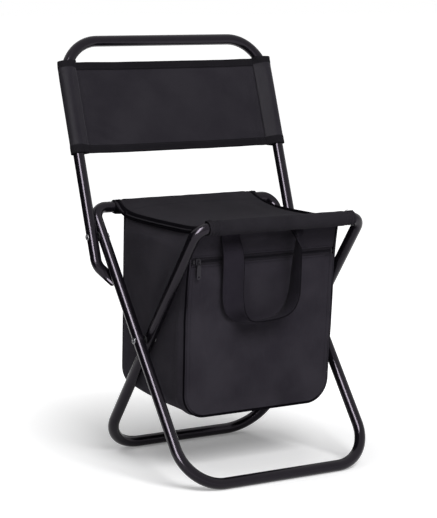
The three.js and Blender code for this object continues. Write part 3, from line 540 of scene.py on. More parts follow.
def paint_look():
    """Gloss black enamel with a faint orange peel and dust-fine scuffs."""
    look = Look("frame_paint")
    peel = look.noise(2.6 * MM, 1.0)
    scuffs = look.noise(11 * MM, 5.0)
    tone = look.mix(look.ranged(scuffs, 0.45, 0.75, 0, 0.5),
                    color(0.0046, 0.0040, 0.0056), color(0.0072, 0.0064, 0.0084))
    rough = look.ranged(scuffs, 0.35, 0.7, 0.14, 0.22)
    look.set(Base_Color=tone, Roughness=rough, Normal=look.bump(peel, 0.05 * MM, 0.2))
    look.set(Specular_IOR_Level=0.21)
    look.shader.inputs["Specular Tint"].default_value = color(0.94, 0.84, 1.0)
    return look.material


def metal_look(name, tone, roughness):
    look = Look(name)
    grain = look.noise(3 * MM, 4.0, None, (1, 6, 1))
    look.set(Base_Color=look.mix(look.ranged(grain, 0.35, 0.75, 0, 0.6), tone, scaled(tone, 0.55)))
    look.set(Roughness=look.ranged(grain, 0.3, 0.7, roughness, roughness + 0.15), Metallic=1.0)
    look.set(Normal=look.bump(grain, 0.04 * MM, 0.3))
    return look.material


def plastic_look(name, tone, roughness, gloss):
    look = Look(name)
    mould = look.noise(1.4 * MM, 2.0)
    worn = look.ranged(look.noise(8 * MM), 0.4, 0.7, 0, 0.5)
    look.set(Base_Color=look.mix(worn, tone, scaled(tone, 1.5)))
    look.set(Roughness=look.ranged(mould, 0.3, 0.7, roughness - 0.06, roughness + 0.06))
    look.set(Normal=look.bump(mould, 0.05 * MM, 0.3), Specular_IOR_Level=gloss)
    return look.material


def foil_look():
    look = Look("liner_foil")
    crinkle = look.noise(14 * MM, 4.0)
    look.set(Base_Color=look.mix(look.ranged(crinkle, 0.3, 0.7, 0, 0.5),
                                 color(0.62, 0.63, 0.64), color(0.5, 0.51, 0.53)))
    look.set(Roughness=look.ranged(crinkle, 0.3, 0.7, 0.22, 0.36), Metallic=0.85)
    look.set(Normal=look.bump(crinkle, 1.5 * MM, 0.6))
    return look.material


def thread_look():
    look = Look("thread")
    ply = look.noise(0.5 * MM, 1.0)
    look.set(Base_Color=look.mix(ply, color(0.007, 0.006, 0.009), color(0.012, 0.0105, 0.0145)))
    look.set(Roughness=look.ranged(ply, 0, 1, 0.6, 0.8), Specular_IOR_Level=0.08)
    return look.material


PAINT = paint_look()
SPIGOT_STEEL = metal_look("spigot_steel", color(0.55, 0.56, 0.57), 0.3)
RIVET_STEEL = metal_look("rivet_steel", color(0.20, 0.20, 0.21), 0.24)
ZIP_METAL = plastic_look("zip_metal", color(0.016, 0.0145, 0.0185), 0.4, 0.15)
ZIP_NYLON = plastic_look("zip_nylon", color(0.010, 0.009, 0.012), 0.6, 0.03)
WASHER_PLASTIC = plastic_look("washer_plastic", color(0.010, 0.0095, 0.011), 0.5, 0.1)
PLUG_PLASTIC = plastic_look("plug_plastic", color(0.009, 0.0085, 0.010), 0.6, 0.03)
# Painted shade: the seat has the bag's fabric, made darker here so that its lamp-lit top reads dark.
SHADED_SEAT_CLOTH = woven("seat_cloth", color(0.0130, 0.0117, 0.0149), color(0.0210, 0.0192, 0.0236),
                   0.55 * MM, 0.86, 0.02)
BAG_CLOTH = woven("bag_cloth", color(0.0205, 0.0180, 0.0240), color(0.0320, 0.0288, 0.0364),
                  0.55 * MM, 0.84, 0.05)
# Painted shade: the seat's side hems are painted near black for the shade on their underside, which faces
# down and away from the lamps.
SHADED_BINDING = woven("binding", color(0.0034, 0.0030, 0.0042), color(0.0052, 0.0046, 0.0064),
                0.5 * MM, 0.84, 0.01, gloss=0.0)
PIPING = woven("piping", color(0.0030, 0.0026, 0.0038), color(0.0045, 0.0040, 0.0056),
               0.4 * MM, 0.8, 0.01, gloss=0.0)
BACKREST_BINDING = woven("backrest_binding", color(0.0078, 0.0070, 0.0092),
                         color(0.0110, 0.0100, 0.0126), 0.5 * MM, 0.84, 0.02)
ZIP_TAPE = woven("zip_tape", color(0.0150, 0.0135, 0.0175), color(0.0190, 0.0170, 0.0215),
                 0.6 * MM, 0.82, 0.05)
BACKREST_CLOTH = woven("backrest_cloth", color(0.0160, 0.0142, 0.0188), color(0.0225, 0.0204, 0.0256),
                       0.55 * MM, 0.52, 0.08, gloss=0.04)
WEBBING = webbing_look()
LINER_FOIL = foil_look()
THREAD = thread_look()


# Mesh helpers

def mesh_object(name, points, faces, looks, uv=None, face_looks=None):
    mesh = bpy.data.meshes.new(name)
    mesh.from_pydata([tuple(p) for p in points], [], faces)
    mesh.polygons.foreach_set("use_smooth", [True] * len(mesh.polygons))
    if uv is not None:
        index = np.zeros(len(mesh.loops), int)
        mesh.loops.foreach_get("vertex_index", index)
        layer = mesh.uv_layers.new(name="UVMap")
        layer.data.foreach_set("uv", np.asarray(uv, np.float32)[index].ravel())
    for look in looks:
        mesh.materials.append(look)
    if face_looks is not None:
        mesh.polygons.foreach_set("material_index", face_looks)
    mesh.update()
    made = bpy.data.objects.new(name, mesh)
    bpy.context.scene.collection.objects.link(made)
    return made


def grid_faces(rows, columns, wrap=False):
    span = columns if wrap else columns - 1
    return [
        (i * columns + j, i * columns + (j + 1) % columns,
         (i + 1) * columns + (j + 1) % columns, (i + 1) * columns + j)
        for i in range(rows - 1) for j in range(span)
    ]


def grid_uv(points):
    """Distances along the cloth, averaged so that each row and column keeps one value."""
    grid = np.array([[tuple(p) for p in row] for row in points])
    across = np.linalg.norm(np.diff(grid, axis=1), axis=2).mean(axis=0)
    down = np.linalg.norm(np.diff(grid, axis=0), axis=2).mean(axis=1)
    u = np.concatenate([[0], np.cumsum(across)])
    v = np.concatenate([[0], np.cumsum(down)])
    return [(u[j], v[i]) for i in range(len(v)) for j in range(len(u))]


def cloth_object(name, points, thickness, looks, place=None, flip=False, row_looks=None):
    """A sheet through rows of points, thickened against the normals of its faces."""
    rows, columns = len(points), len(points[0])
    faces = grid_faces(rows, columns)
    if flip:
        faces = [face[::-1] for face in faces]
    flat = [place @ p if place else p for row in points for p in row]
    face_looks = None
    if row_looks:
        face_looks = [row_looks(i) for i in range(rows - 1) for _ in range(columns - 1)]
    made = mesh_object(name, flat, faces, looks, grid_uv(points), face_looks)
    solid = made.modifiers.new("thickness", "SOLIDIFY")
    solid.thickness = thickness
    solid.offset = -1
    return made


def rounded_run(corners):
    """Points in the XZ plane along straight runs with rounded corners: corners is (x, z, radius)."""
    points = []
    for i, (x, z, radius) in enumerate(corners):
        here = Vector((x, 0, z))
        if not radius:
            points.append(here)
            continue
        before = Vector((corners[i - 1][0], 0, corners[i - 1][1]))
        after = Vector((corners[i + 1][0], 0, corners[i + 1][1]))
        into, out = (here - before).normalized(), (after - here).normalized()
        turn = into.angle(out)
        start = here - into * radius * math.tan(turn / 2)
        inward = (out - into * into.dot(out)).normalized()
        centre = start + inward * radius
        for angle in spaced(0, turn, max(3, round(turn / BEND_STEP))):
            points.append(centre + into * radius * math.sin(angle) - inward * radius * math.cos(angle))
    return points


def tangents(points):
    ahead = [b - a for a, b in zip(points, points[1:])]
    pairs = zip([ahead[0], *ahead], [*ahead, ahead[-1]])
    return [(a.normalized() + b.normalized()).normalized() for a, b in pairs]


def ring_rows(points, reference, radius, sides):
    """Circles of points round a path, which keep one axis along the reference direction."""
    rows = []
    for point, tangent in zip(points, tangents(points)):
        side = (reference - tangent * reference.dot(tangent)).normalized()
        other = tangent.cross(side)
        rows.append([
            point + radius * (side * math.cos(turn) + other * math.sin(turn))
            for turn in (2 * math.pi * k / sides for k in range(sides))
        ])
    return rows


def hollow_tube(name, run, place, look):
    """A tube with a bore, open at both ends, with its wall closed there."""
    reference = Vector((0, 1, 0))
    outer = ring_rows(run, reference, TUBE_RADIUS, TUBE_SIDES)
    inner = ring_rows(run, reference, TUBE_RADIUS - TUBE_WALL, TUBE_SIDES)
    loop = [outer[0], *outer, outer[-1], inner[-1], *inner[::-1], inner[0], outer[0]]
    count = len(loop) - 1
    points = [place @ p for row in loop[:-1] for p in row]
    faces = [
        tuple((i % count) * TUBE_SIDES + j % TUBE_SIDES
              for i, j in ((a, b), (a, b + 1), (a + 1, b + 1), (a + 1, b)))
        for a in range(count) for b in range(TUBE_SIDES)
    ]
    return mesh_object(name, points, faces, [look])


def strip_object(name, rows, look, uv, turned=False, place=None):
    """A solid strip through closed sections, with flat ends. turned reverses all its faces."""
    columns = len(rows[0])
    last = (len(rows) - 1) * columns
    faces = grid_faces(len(rows), columns, wrap=True)
    faces.append(tuple(range(columns))[::-1])
    faces.append(tuple(last + k for k in range(columns)))
    if turned:
        faces = [face[::-1] for face in faces]
    points = [place @ p if place else p for row in rows for p in row]
    return mesh_object(name, points, faces, [look], uv)


def cord_object(name, points, radius, sides, look, reference=Vector((0, 1, 0))):
    """A solid round cord along a path, with flat ends."""
    rows = ring_rows(points, reference, radius, sides)
    lengths = np.concatenate([[0], np.cumsum([(b - a).length for a, b in zip(points, points[1:])])])
    uv = [(2 * math.pi * radius * k / sides, along) for along in lengths for k in range(sides)]
    return strip_object(name, rows, look, uv)


def turned_object(name, profile, place, look):
    """A turned piece about the local X axis. profile is (distance along X, radius) from axis to axis."""
    points, rows = [], []
    for along, radius in profile:
        if radius == 0:
            rows.append([len(points)] * TURNED_SIDES)
            points.append(Vector((along, 0, 0)))
            continue
        rows.append(list(range(len(points), len(points) + TURNED_SIDES)))
        for k in range(TURNED_SIDES):
            turn = 2 * math.pi * k / TURNED_SIDES
            points.append(Vector((along, radius * math.cos(turn), radius * math.sin(turn))))
    faces = []
    for lower, upper in zip(rows, rows[1:]):
        for k in range(TURNED_SIDES):
            ring = [lower[k], lower[k - 1], upper[k - 1], upper[k]]
            face = [corner for n, corner in enumerate(ring) if corner != ring[n - 1]]
            if len(face) > 2:
                faces.append(tuple(face))
    return mesh_object(name, [place @ p for p in points], faces, [look])


# Stitches

def stitch_shape(centre, along, out):
    """One thread stitch: a low mound that dips into the cloth at both ends."""
    side = along.cross(out).normalized()
    points = []
    for share, lift, size in STITCH_SHARES:
        middle = centre + along * STITCH_LENGTH * share + out * STITCH_RADIUS * lift
        for k in range(STITCH_SIDES):
            turn = 2 * math.pi * k / STITCH_SIDES
            points.append(middle + STITCH_RADIUS * size * (side * math.cos(turn) + out * math.sin(turn)))
    return points


def stitch_line(path, normals):
    """Stitch meshes along a path that lies on cloth with the given outward normals."""
    steps = [(b - a).length for a, b in zip(path, path[1:])]
    total = sum(steps)
    count = max(1, int(total / STITCH_PITCH))
    made, reached, i = [], 0.0, 0
    for k in range(count):
        want = total * (k + 0.5) / count
        while i < len(steps) - 1 and reached + steps[i] < want:
            reached += steps[i]
            i += 1
        share = (want - reached) / steps[i] if steps[i] else 0
        centre = path[i].lerp(path[i + 1], share)
        along = (path[i + 1] - path[i]).normalized()
        out = normals[i].lerp(normals[i + 1], share).normalized()
        out = (out - along * out.dot(along)).normalized()
        made.append(stitch_shape(centre, along, out))
    return made


def stitches_object(name, lines):
    points, faces = [], []
    last = (len(STITCH_SHARES) - 1) * STITCH_SIDES
    pattern = grid_faces(len(STITCH_SHARES), STITCH_SIDES, wrap=True)
    pattern.append(tuple(range(STITCH_SIDES))[::-1])
    pattern.append(tuple(range(last, last + STITCH_SIDES)))
    for stitch in (s for line in lines for s in line):
        base = len(points)
        points.extend(stitch)
        faces.extend(tuple(base + v for v in face) for face in pattern)
    return mesh_object(name, points, faces, [THREAD])


def row_normals(rows, i, j, flip=False):
    """The cloth's normal at one point of a grid of rows."""
    up = rows[min(i + 1, len(rows) - 1)][j] - rows[max(i - 1, 0)][j]
    across = rows[i][min(j + 1, len(rows[i]) - 1)] - rows[i][max(j - 1, 0)]
    normal = across.cross(up).normalized()
    return -normal if flip else normal


def seam(rows, cells, flip=False, lift=SEAM_LIFT):
    """Stitches along points of a cloth grid, which are given by their rows and columns."""
    normals = [row_normals(rows, i, j, flip) for i, j in cells]
    path = [rows[i][j] + n * lift for (i, j), n in zip(cells, normals)]
    return stitch_line(path, normals)


def row_cells(rows, i, columns=None):
    return [(i, j) for j in columns or range(len(rows[i]))]


def column_cells(rows, j, first=0):
    return [(i, j) for i in range(first, len(rows))]


# Frames

def loop_run(width, lean):
    half, start = width / 2, TUBE_JOINT_GAP / 2
    rise, fall = RAIL_RISE / math.cos(lean), FOOT_FALL / math.cos(lean)
    return rounded_run([
        (-start, rise, 0), (-half, rise, RAIL_BEND_RADIUS), (-half, -fall, FOOT_BEND_RADIUS),
        (half, -fall, FOOT_BEND_RADIUS), (half, rise, RAIL_BEND_RADIUS), (start, rise, 0),
    ])


def backrest_run():
    half = BACKREST_WIDTH / 2
    return rounded_run([
        (TAIL_END_X, TAIL_END_Z, 0), (half, -TAIL_DROP, TAIL_BEND_RADIUS),
        (half, BACKREST_HEIGHT, BACKREST_BEND_RADIUS), (-half, BACKREST_HEIGHT, BACKREST_BEND_RADIUS),
        (-half, -TAIL_DROP, TAIL_BEND_RADIUS), (-TAIL_END_X, TAIL_END_Z, 0),
    ])


def frame_tubes():
    for name, run, place, body in (
        ("outer_frame_tube", loop_run(OUTER_WIDTH, OUTER_LEAN), OUTER, "outer_frame"),
        ("inner_frame_tube", loop_run(INNER_WIDTH, INNER_LEAN), INNER, "inner_frame"),
        ("backrest_tube", backrest_run(), BACKREST, "backrest"),
    ):
        tube = hollow_tube(name + "_smooth", run, place, PAINT)
        finished(tube, body, "frame_paint", name)


def finished(piece, body, slot, *nodes):
    """Attaches a piece to what it rides on and hides the CAD nodes that it stands for. The slot is not used.
    """
    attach(piece, body)
    if nodes:
        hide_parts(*nodes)
    return piece


def rivet_profile(outer_face, inner_face):
    """From the tail's axis to the head's axis, with a dimple in the middle of the head."""
    head_base, tail_base = outer_face + FIT_GAP / 3, inner_face - FIT_GAP / 3
    head_top, edge = head_base + RIVET_HEAD_HEIGHT, RIVET_HEAD_HEIGHT / 2
    tail = [(tail_base - RIVET_TAIL_HEIGHT * down, RIVET_TAIL_RADIUS * out)
            for down, out in RIVET_TAIL_SHARES]
    shank = [(tail_base, RIVET_RADIUS), (head_base, RIVET_RADIUS), (head_base, RIVET_HEAD_RADIUS)]
    rim = [(head_base + edge * math.sin(a), RIVET_HEAD_RADIUS - edge * (1 - math.cos(a)) * 0.9)
           for a in spaced(0.2, math.pi / 2, 5)]
    dimple = [(head_top - edge * down, RIVET_HEAD_RADIUS * out) for down, out in RIVET_DIMPLE_SHARES]
    return tail + shank + rim + dimple


def washer_profile(outer_axis):
    outer_face, inner_face = outer_axis - TUBE_RADIUS, outer_axis - TUBE_RADIUS - SIDE_GAP
    hole, edge = RIVET_RADIUS + FIT_GAP / 2, WASHER_EDGE
    low, high = inner_face + FIT_GAP / 2, outer_face - FIT_GAP / 2
    return [
        (low, hole), (low, WASHER_RADIUS - edge), (low + edge / 2, WASHER_RADIUS - edge / 4),
        (low + edge, WASHER_RADIUS), (high - edge, WASHER_RADIUS),
        (high - edge / 2, WASHER_RADIUS - edge / 4), (high, WASHER_RADIUS - edge), (high, hole),
        (low, hole),
    ]


def both_sides(name, profile, place, look, body, slot):
    for side, turn in (("left", math.pi), ("right", 0)):
        at = place @ Matrix.Rotation(turn, 4, "Z")
        piece = turned_object(f"{name}_{side}_turned", profile, at, look)
        finished(piece, body, slot, f"{name}_{side}")


def fasteners():
    """At each joint a rivet through both tubes, with a washer between them."""
    for name, outer, inner, place in (
        ("pivot", OUTER_WIDTH, INNER_WIDTH, OUTER),
        ("backrest", BACKREST_WIDTH, OUTER_WIDTH, BACKREST),
    ):
        rivet = rivet_profile(outer / 2 + TUBE_RADIUS, inner / 2 - TUBE_RADIUS)
        both_sides(f"{name}_rivet", rivet, place, RIVET_STEEL, "outer_frame", "rivet_steel")
        both_sides(f"{name}_washer", washer_profile(outer / 2), place, WASHER_PLASTIC,
                   "outer_frame", "washer_plastic")


def tail_plugs():
    insert = TUBE_RADIUS - TUBE_WALL - FIT_GAP / 3
    profile = [
        (-PLUG_INSERT, 0), (-PLUG_INSERT, insert - MM), (-PLUG_INSERT + MM, insert), (0, insert),
        (0, TUBE_RADIUS),
        *[(PLUG_HEAD * math.sin(a) ** 0.8, TUBE_RADIUS - PLUG_HEAD * (1 - math.cos(a)))
          for a in spaced(0.15, math.pi / 2, 6)],
        (PLUG_HEAD * 1.04, 0),
    ]
    tilt = Matrix.Rotation(math.pi / 2 + TAIL_BEND, 4, "Y")
    end = Matrix.Translation((TAIL_END_X, 0, TAIL_END_Z)) @ tilt
    for side, turn in (("left", math.pi), ("right", 0)):
        at = BACKREST @ Matrix.Rotation(turn, 4, "Z") @ end
        plug = turned_object(f"backrest_plug_{side}_turned", profile, at, PLUG_PLASTIC)
        finished(plug, "backrest", "plug_plastic", f"backrest_plug_{side}")


# Backrest fabric

def post_bend_in(z):
    above = max(0.0, z - (BACKREST_HEIGHT - BACKREST_BEND_RADIUS))
    return BACKREST_BEND_RADIUS - math.sqrt(BACKREST_BEND_RADIUS ** 2 - above ** 2)


def teardrop(seam, centre, radius, ear):
    """A pocket's section in its own plane: from the seam round a bar's circle and back to the seam.

    seam and centre are 2D. ear is how far the far side stands out past the circle."""
    seam, centre = Vector(seam), Vector(centre)
    axis = (centre - seam).normalized()
    side = Vector((-axis.y, axis.x))
    reach = (centre - seam).length
    alpha = math.asin(clamp(radius / reach, 0, 0.95))
    touch_along, touch_side = reach - radius * math.sin(alpha), radius * math.cos(alpha)
    front = [(touch_along * share, touch_side * share ** 0.8)
             for share in spaced(0, 1, POCKET_STEPS)[:-1]]
    arc = [
        (reach + (radius + (ear if math.sin(a) > 0 else 0)) * math.sin(a), radius * math.cos(a))
        for a in spaced(-alpha, math.pi + alpha, 3 * POCKET_STEPS)
    ]
    outline = front + arc + [(a, -s) for a, s in reversed(front)]
    return [seam + axis * a + side * s for a, s in outline]


def hem_rise(z, low, high):
    """How much thicker the cloth is where it is turned over at its two edges."""
    edge = min(z - low, high - z)
    return 1 - smoothstep(edge, HEM_HEIGHT - HEM_LIP, HEM_HEIGHT + HEM_LIP)


def backrest_sleeve(sign):
    """The pocket round one post. Its outer edge stays straight where the post bends in."""
    rows = []
    for z in spaced(PANEL_BOTTOM, PANEL_TOP, SLEEVE_ROWS):
        bend = post_bend_in(z)
        grow = 0.5 * MM * hem_rise(z, PANEL_BOTTOM, PANEL_TOP)
        section = teardrop((SEAM_X, SEAM_BACK), (POST_X - bend, 0), SLEEVE_RADIUS + grow, bend)
        row = []
        for k, p in enumerate(section):
            pull = 0.35 * MM * ripple(z / (11 * MM), k / 7, 3 + sign)
            far = clamp((p.x - SEAM_X) / (20 * MM))
            row.append(Vector((sign * (p.x + pull * (1 - far)), p.y + pull * (1 - far), z)))
        rows.append(row)
    side = "left" if sign < 0 else "right"

    def bound_row(i):
        return int(hem_rise(rows[i][0].z, PANEL_BOTTOM, PANEL_TOP) > 0.5)

    looks = [BACKREST_CLOTH, BACKREST_BINDING]
    sleeve = cloth_object(f"backrest_sleeve_{side}_cloth", rows, SLEEVE_CLOTH, looks,
                          BACKREST, flip=sign < 0, row_looks=bound_row)
    finished(sleeve, "backrest", "seat_fabric", f"backrest_sleeve_{side}")


def panel_y(x, z):
    """The panel's middle surface: hollow between the posts, with a few soft pulls near its seams."""
    share = x / SEAM_X
    up = (z - PANEL_BOTTOM) / (PANEL_TOP - PANEL_BOTTOM)
    bulge = PANEL_BULGE * (1 - abs(share) ** 5) * lerp(0.8, 1, math.sin(math.pi * up))
    edge = SEAM_X - abs(x)
    pulls = 0.9 * MM * math.exp(-edge / (30 * MM)) * ripple(z / (10 * MM), x / (60 * MM), 1.3)
    waves = 0.8 * MM * ripple(x / (85 * MM), z / (46 * MM), 8.1)
    corner = soft_dent(x, z, CREASE_X, PANEL_BOTTOM + CREASE_RISE, CREASE_REACH, CREASE_REACH)
    crease = CREASE_DEPTH * corner * math.sin((x * 0.5 + z) / (3.1 * MM))
    valley = 2.2 * MM * math.exp(-((edge - 4 * MM) / (9 * MM)) ** 2)
    return bulge + valley + (pulls + waves + crease) * clamp(edge / (6 * MM))


def backrest_panel():
    across = spaced(-SEAM_X, SEAM_X, PANEL_COLUMNS)
    tuck = HEM_HEIGHT * 0.4
    up = spaced(PANEL_BOTTOM + tuck, PANEL_TOP - tuck, PANEL_ROWS)
    rows = [[Vector((x, panel_y(x, z) - CLOTH / 2, z)) for x in across] for z in up]
    panel = cloth_object("backrest_panel_cloth", rows, CLOTH, [BACKREST_CLOTH], BACKREST)
    finished(panel, "backrest", "seat_fabric", "backrest_panel")


def hem_section(height, thickness):
    """A folded hem's closed section, (out, up), with a rounded fold at the top and a soft belly."""
    half, fold_height = thickness / 2, height * HEM_FOLD_SHARE
    flat = height - fold_height
    front = [(-half * lerp(0.82, 1, math.sin(math.pi * s)), flat * s) for s in spaced(0, 1, HEM_STEPS)]
    fold = [(half * math.sin(a), flat + fold_height * math.cos(a))
            for a in spaced(-math.pi / 2, math.pi / 2, HEM_STEPS + 1)][1:-1]
    back = [(-out, up) for out, up in reversed(front)]
    return front + fold + back


def backrest_hem(name, edge_z, direction):
    """A turned hem along the panel's top or bottom edge; direction is +1 for the top one."""
    rows = []
    for x in spaced(-SEAM_X - 3 * MM, SEAM_X + 3 * MM, BACKREST_HEM_ROWS):
        sway = 0.5 * MM * ripple(x / (34 * MM), 5.0 + direction)
        row = []
        for out, up in hem_section(HEM_HEIGHT, HEM_BULK):
            z = edge_z - direction * (HEM_HEIGHT - up) + sway * (1 if direction < 0 else 0.4)
            puff = 1 + 0.16 * ripple(x / (7 * MM), up / (9 * MM), direction)
            row.append(Vector((x, panel_y(clamp(x, -SEAM_X, SEAM_X), z) + out * puff, z)))
        rows.append(row)
    uv = [(p.z, p.x) for row in rows for p in row]
    hem = strip_object(name + "_fold", rows, BACKREST_BINDING, uv, direction > 0, BACKREST)
    finished(hem, "backrest", "binding", name)


def backrest_seam(places, side, lift):
    """Stitches over places in X and Z on the panel: side is -1 on its front and 1 on its back."""
    path = [BACKREST @ Vector((x, panel_y(x, z) + side * lift, z)) for x, z in places]
    out = BACKREST.to_3x3() @ Vector((0, side, 0))
    return stitch_line(path, [out] * len(path))


def backrest_stitching():
    lines = []
    for z in (PANEL_TOP - HEM_SEAM_RISE, PANEL_BOTTOM + HEM_SEAM_RISE):
        places = [(x, z) for x in spaced(-SEAM_X, SEAM_X, SEAM_STEPS)]
        lines += [backrest_seam(places, side, HEM_FACE) for side in (-1, 1)]
    for sign in (-1, 1):
        for depth in SLEEVE_SEAMS:
            places = [(sign * (SEAM_X - depth), z) for z in spaced(PANEL_BOTTOM + MM, PANEL_TOP - MM, 40)]
            lines += [backrest_seam(places, side, CLOTH_FACE) for side in (-1, 1)]
    finished(stitches_object("backrest_stitching", lines), "backrest", "binding")


def backrest_fabric():
    backrest_sleeve(-1)
    backrest_sleeve(1)
    backrest_panel()
    backrest_hem("backrest_top_hem", PANEL_TOP, 1)
    backrest_hem("backrest_bottom_hem", PANEL_BOTTOM, -1)
    backrest_stitching()


# Seat


def pocket_size(x, angle):
    """A pocket's radius: loose along the rail, and gathered close to it near its open ends."""
    end = abs(x) - (SEAT_WIDTH / 2 - PUCKER_REACH)
    if end < 0:
        return POCKET_RADIUS + 0.5 * MM * ripple(x / (16 * MM), angle, 6.0)
    drawn = smoothstep(end, 0, 3 * MM)
    gathers = 0.55 * MM * math.sin(end * 2 * math.pi / PUCKER_PITCH + 0.6 * math.sin(3 * angle))
    return lerp(POCKET_RADIUS, PUCKER_RADIUS, drawn) + gathers * drawn


def pocket_line(x, rail_y, direction):
    """A pocket's line in Y and Z: from its seam along the underside and round the rail to its top."""
    seam_y = rail_y + direction * POCKET_DEPTH
    drop = seat_surface(x, seam_y) - SEAT_SEAM_DROP - RAIL_HEIGHT
    reach = math.hypot(POCKET_DEPTH, drop)
    touch = math.atan2(drop, POCKET_DEPTH) - math.acos(POCKET_RADIUS / reach)
    seam = Vector((POCKET_DEPTH, drop))
    start = POCKET_RADIUS * Vector((math.cos(touch), math.sin(touch)))
    line = [seam.lerp(start, share) for share in spaced(0, 1, POCKET_STEPS)[:-1]]
    for angle in spaced(touch, -1.5 * math.pi - SEAT_SLOPE, 30):
        line.append(pocket_size(x, angle) * Vector((math.cos(angle), math.sin(angle))))
    return [Vector((rail_y + direction * p.x, RAIL_HEIGHT + p.y)) for p in line]


def seat_section(x):
    """The seat cloth in Y and Z at one place across: front pocket, span and rear pocket."""
    front = pocket_line(x, FRONT_RAIL.y, 1)
    rear = pocket_line(x, REAR_RAIL.y, -1)
    ys = spaced(SEAT_FRONT_Y, SEAT_BACK_Y, SPAN_STEPS)[1:-1]
    return front + [Vector((y, seat_surface(x, y))) for y in ys] + rear[::-1]


def seat_piece(piece, slot, *nodes):
    """Hides the CAD nodes that a piece of the seat stands for, and bakes its placement into its mesh. The
    slot is not used.
    """
    if nodes:
        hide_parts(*nodes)
    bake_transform(piece)


def seat_hem(side, sign):
    """The turned edge down one side of the seat's span. It hangs a little outwards."""
    x_middle = SEAT_WIDTH / 2 - SEAT_HEM_WIDTH * 0.6
    x_edge = sign * (SEAT_WIDTH / 2 - 4 * MM)
    ys = spaced(SEAT_FRONT_Y - MM, SEAT_BACK_Y + MM, SEAT_HEM_ROWS)
    line = [Vector((y, seat_surface(x_edge, y))) for y in ys]
    lean = SEAT_LEFT_DROOP if sign < 0 else SEAT_RIGHT_DROOP
    rows = []
    for before, p, after in zip([line[0], *line], line, [*line[1:], line[-1]]):
        tangent = (after - before).normalized()
        normal = Vector((-tangent.y, tangent.x))
        middle = math.sin(math.pi * seat_share(p.x))
        droop, full = lean * middle ** 0.3, 0.35 + 0.65 * smoothstep(middle, 0, 0.35)
        row = []
        for out, inward in hem_section(SEAT_HEM_WIDTH, SEAT_HEM_THICKNESS * full):
            puff = 1 + 0.14 * ripple(p.x / (8 * MM), inward / (6 * MM), sign)
            along = inward - SEAT_HEM_WIDTH * 0.4
            x = x_middle + along * math.cos(droop) - out * math.sin(droop)
            q = p + normal * (-along * math.sin(droop) - out * puff * math.cos(droop) - 0.4 * MM)
            row.append(Vector((sign * x, q.x, q.y)))
        rows.append(row)
    uv = [(p.x, p.y) for row in rows for p in row]
    # The hem's near-black cloth is painted shade.
    hem = strip_object(f"seat_hem_{side}_fold", rows, SHADED_BINDING, uv, sign < 0)
    seat_piece(hem, "binding", f"seat_hem_{side}")


def seat_seam(path):
    return stitch_line(path, [Vector((0, 0, 1))] * len(path))


def seat_stitching(across):
    lines = []
    for seam_y, inward in ((FRONT_RAIL.y + POCKET_DEPTH, -1), (REAR_RAIL.y - POCKET_DEPTH, 1)):
        for y in (seam_y, seam_y + inward * POCKET_SEAM_GAP):
            lines.append(seat_seam([Vector((x, y, seat_surface(x, y))) for x in across]))
    ys = spaced(SEAT_FRONT_Y, SEAT_BACK_Y, 70)
    for sign in (-1, 1):
        x = sign * (SEAT_WIDTH / 2 - SEAT_HEM_WIDTH + SEAT_HEM_SEAM_IN)
        lines.append(seat_seam([Vector((x, y, seat_surface(x, y) + SEAT_HEM_SEAM_LIFT)) for y in ys]))
    seat_piece(stitches_object("seat_stitching", lines), "binding")


def seat():
    edge, inner = SEAT_WIDTH / 2 - SEAT_EDGE_IN, SEAT_WIDTH / 2 - PUCKER_REACH
    right = spaced(inner, edge, PUCKER_COLUMNS)
    across = [-x for x in right[::-1]] + spaced(-inner, inner, SEAT_COLUMNS)[1:-1] + right
    sections = [seat_section(x) for x in across]
    rows = [[Vector((x, *section[i])) for x, section in zip(across, sections)]
            for i in range(len(sections[0]))]
    # The seat cloth's darker tone is painted shade.
    cloth = cloth_object("seat_cloth_sheet", rows, CLOTH, [SHADED_SEAT_CLOTH])
    seat_piece(cloth, "seat_fabric", "seat_panel", "seat_front_sleeve", "seat_rear_sleeve")
    seat_hem("left", -1)
    seat_hem("right", 1)
    seat_stitching(across)


# Bag

def bowed(x, z):
    """The bag's right side stands out a little halfway down."""
    hump = math.exp(-((z - BAG_BOW_HEIGHT) / BAG_BOW_REACH) ** 2)
    return x + BAG_BOW * hump * clamp(x / BAG_HALF_WIDTH) ** 2


def corner_places(half, bottom, radius, steps):
    """X and Z round a lower right corner, from the base up to the side."""
    return [(half - radius * (1 - math.sin(a)), bottom + radius * (1 - math.cos(a)))
            for a in spaced(0, math.pi / 2, steps)]


def panel_grid(bottom, top, columns=BAG_COLUMNS, upper_rows=64, corner_rows=CORNER_ROWS,
               radius=BAG_CORNER_RADIUS, half=BAG_HALF_WIDTH):
    """Places in X and Z over a panel whose lower corners are rounded."""
    corner = corner_places(half, bottom, radius, corner_rows)
    sides = [(half, z) for z in spaced(bottom + radius, top, upper_rows)][1:]
    return [[(bowed(x, z), z) for x in spaced(-width, width, columns)] for width, z in corner + sides]


def edge_distance(x, z, bottom):
    """How far a place on a panel lies inside its side and lower edges."""
    across = abs(x) - (BAG_HALF_WIDTH - BAG_CORNER_RADIUS)
    below = bottom + BAG_CORNER_RADIUS - z
    if across > 0 and below > 0:
        return BAG_CORNER_RADIUS - math.hypot(across, below)
    return min(BAG_HALF_WIDTH - abs(x), z - bottom)


def dents(table, x, z):
    """How far a table's dents move the cloth out at one place."""
    total = 0.0
    for depth, at_x, at_z, width, height, angle in table:
        total += depth * MM * soft_dent(x, z, at_x * MM, at_z * MM, width * MM, height * MM, angle)
    return total


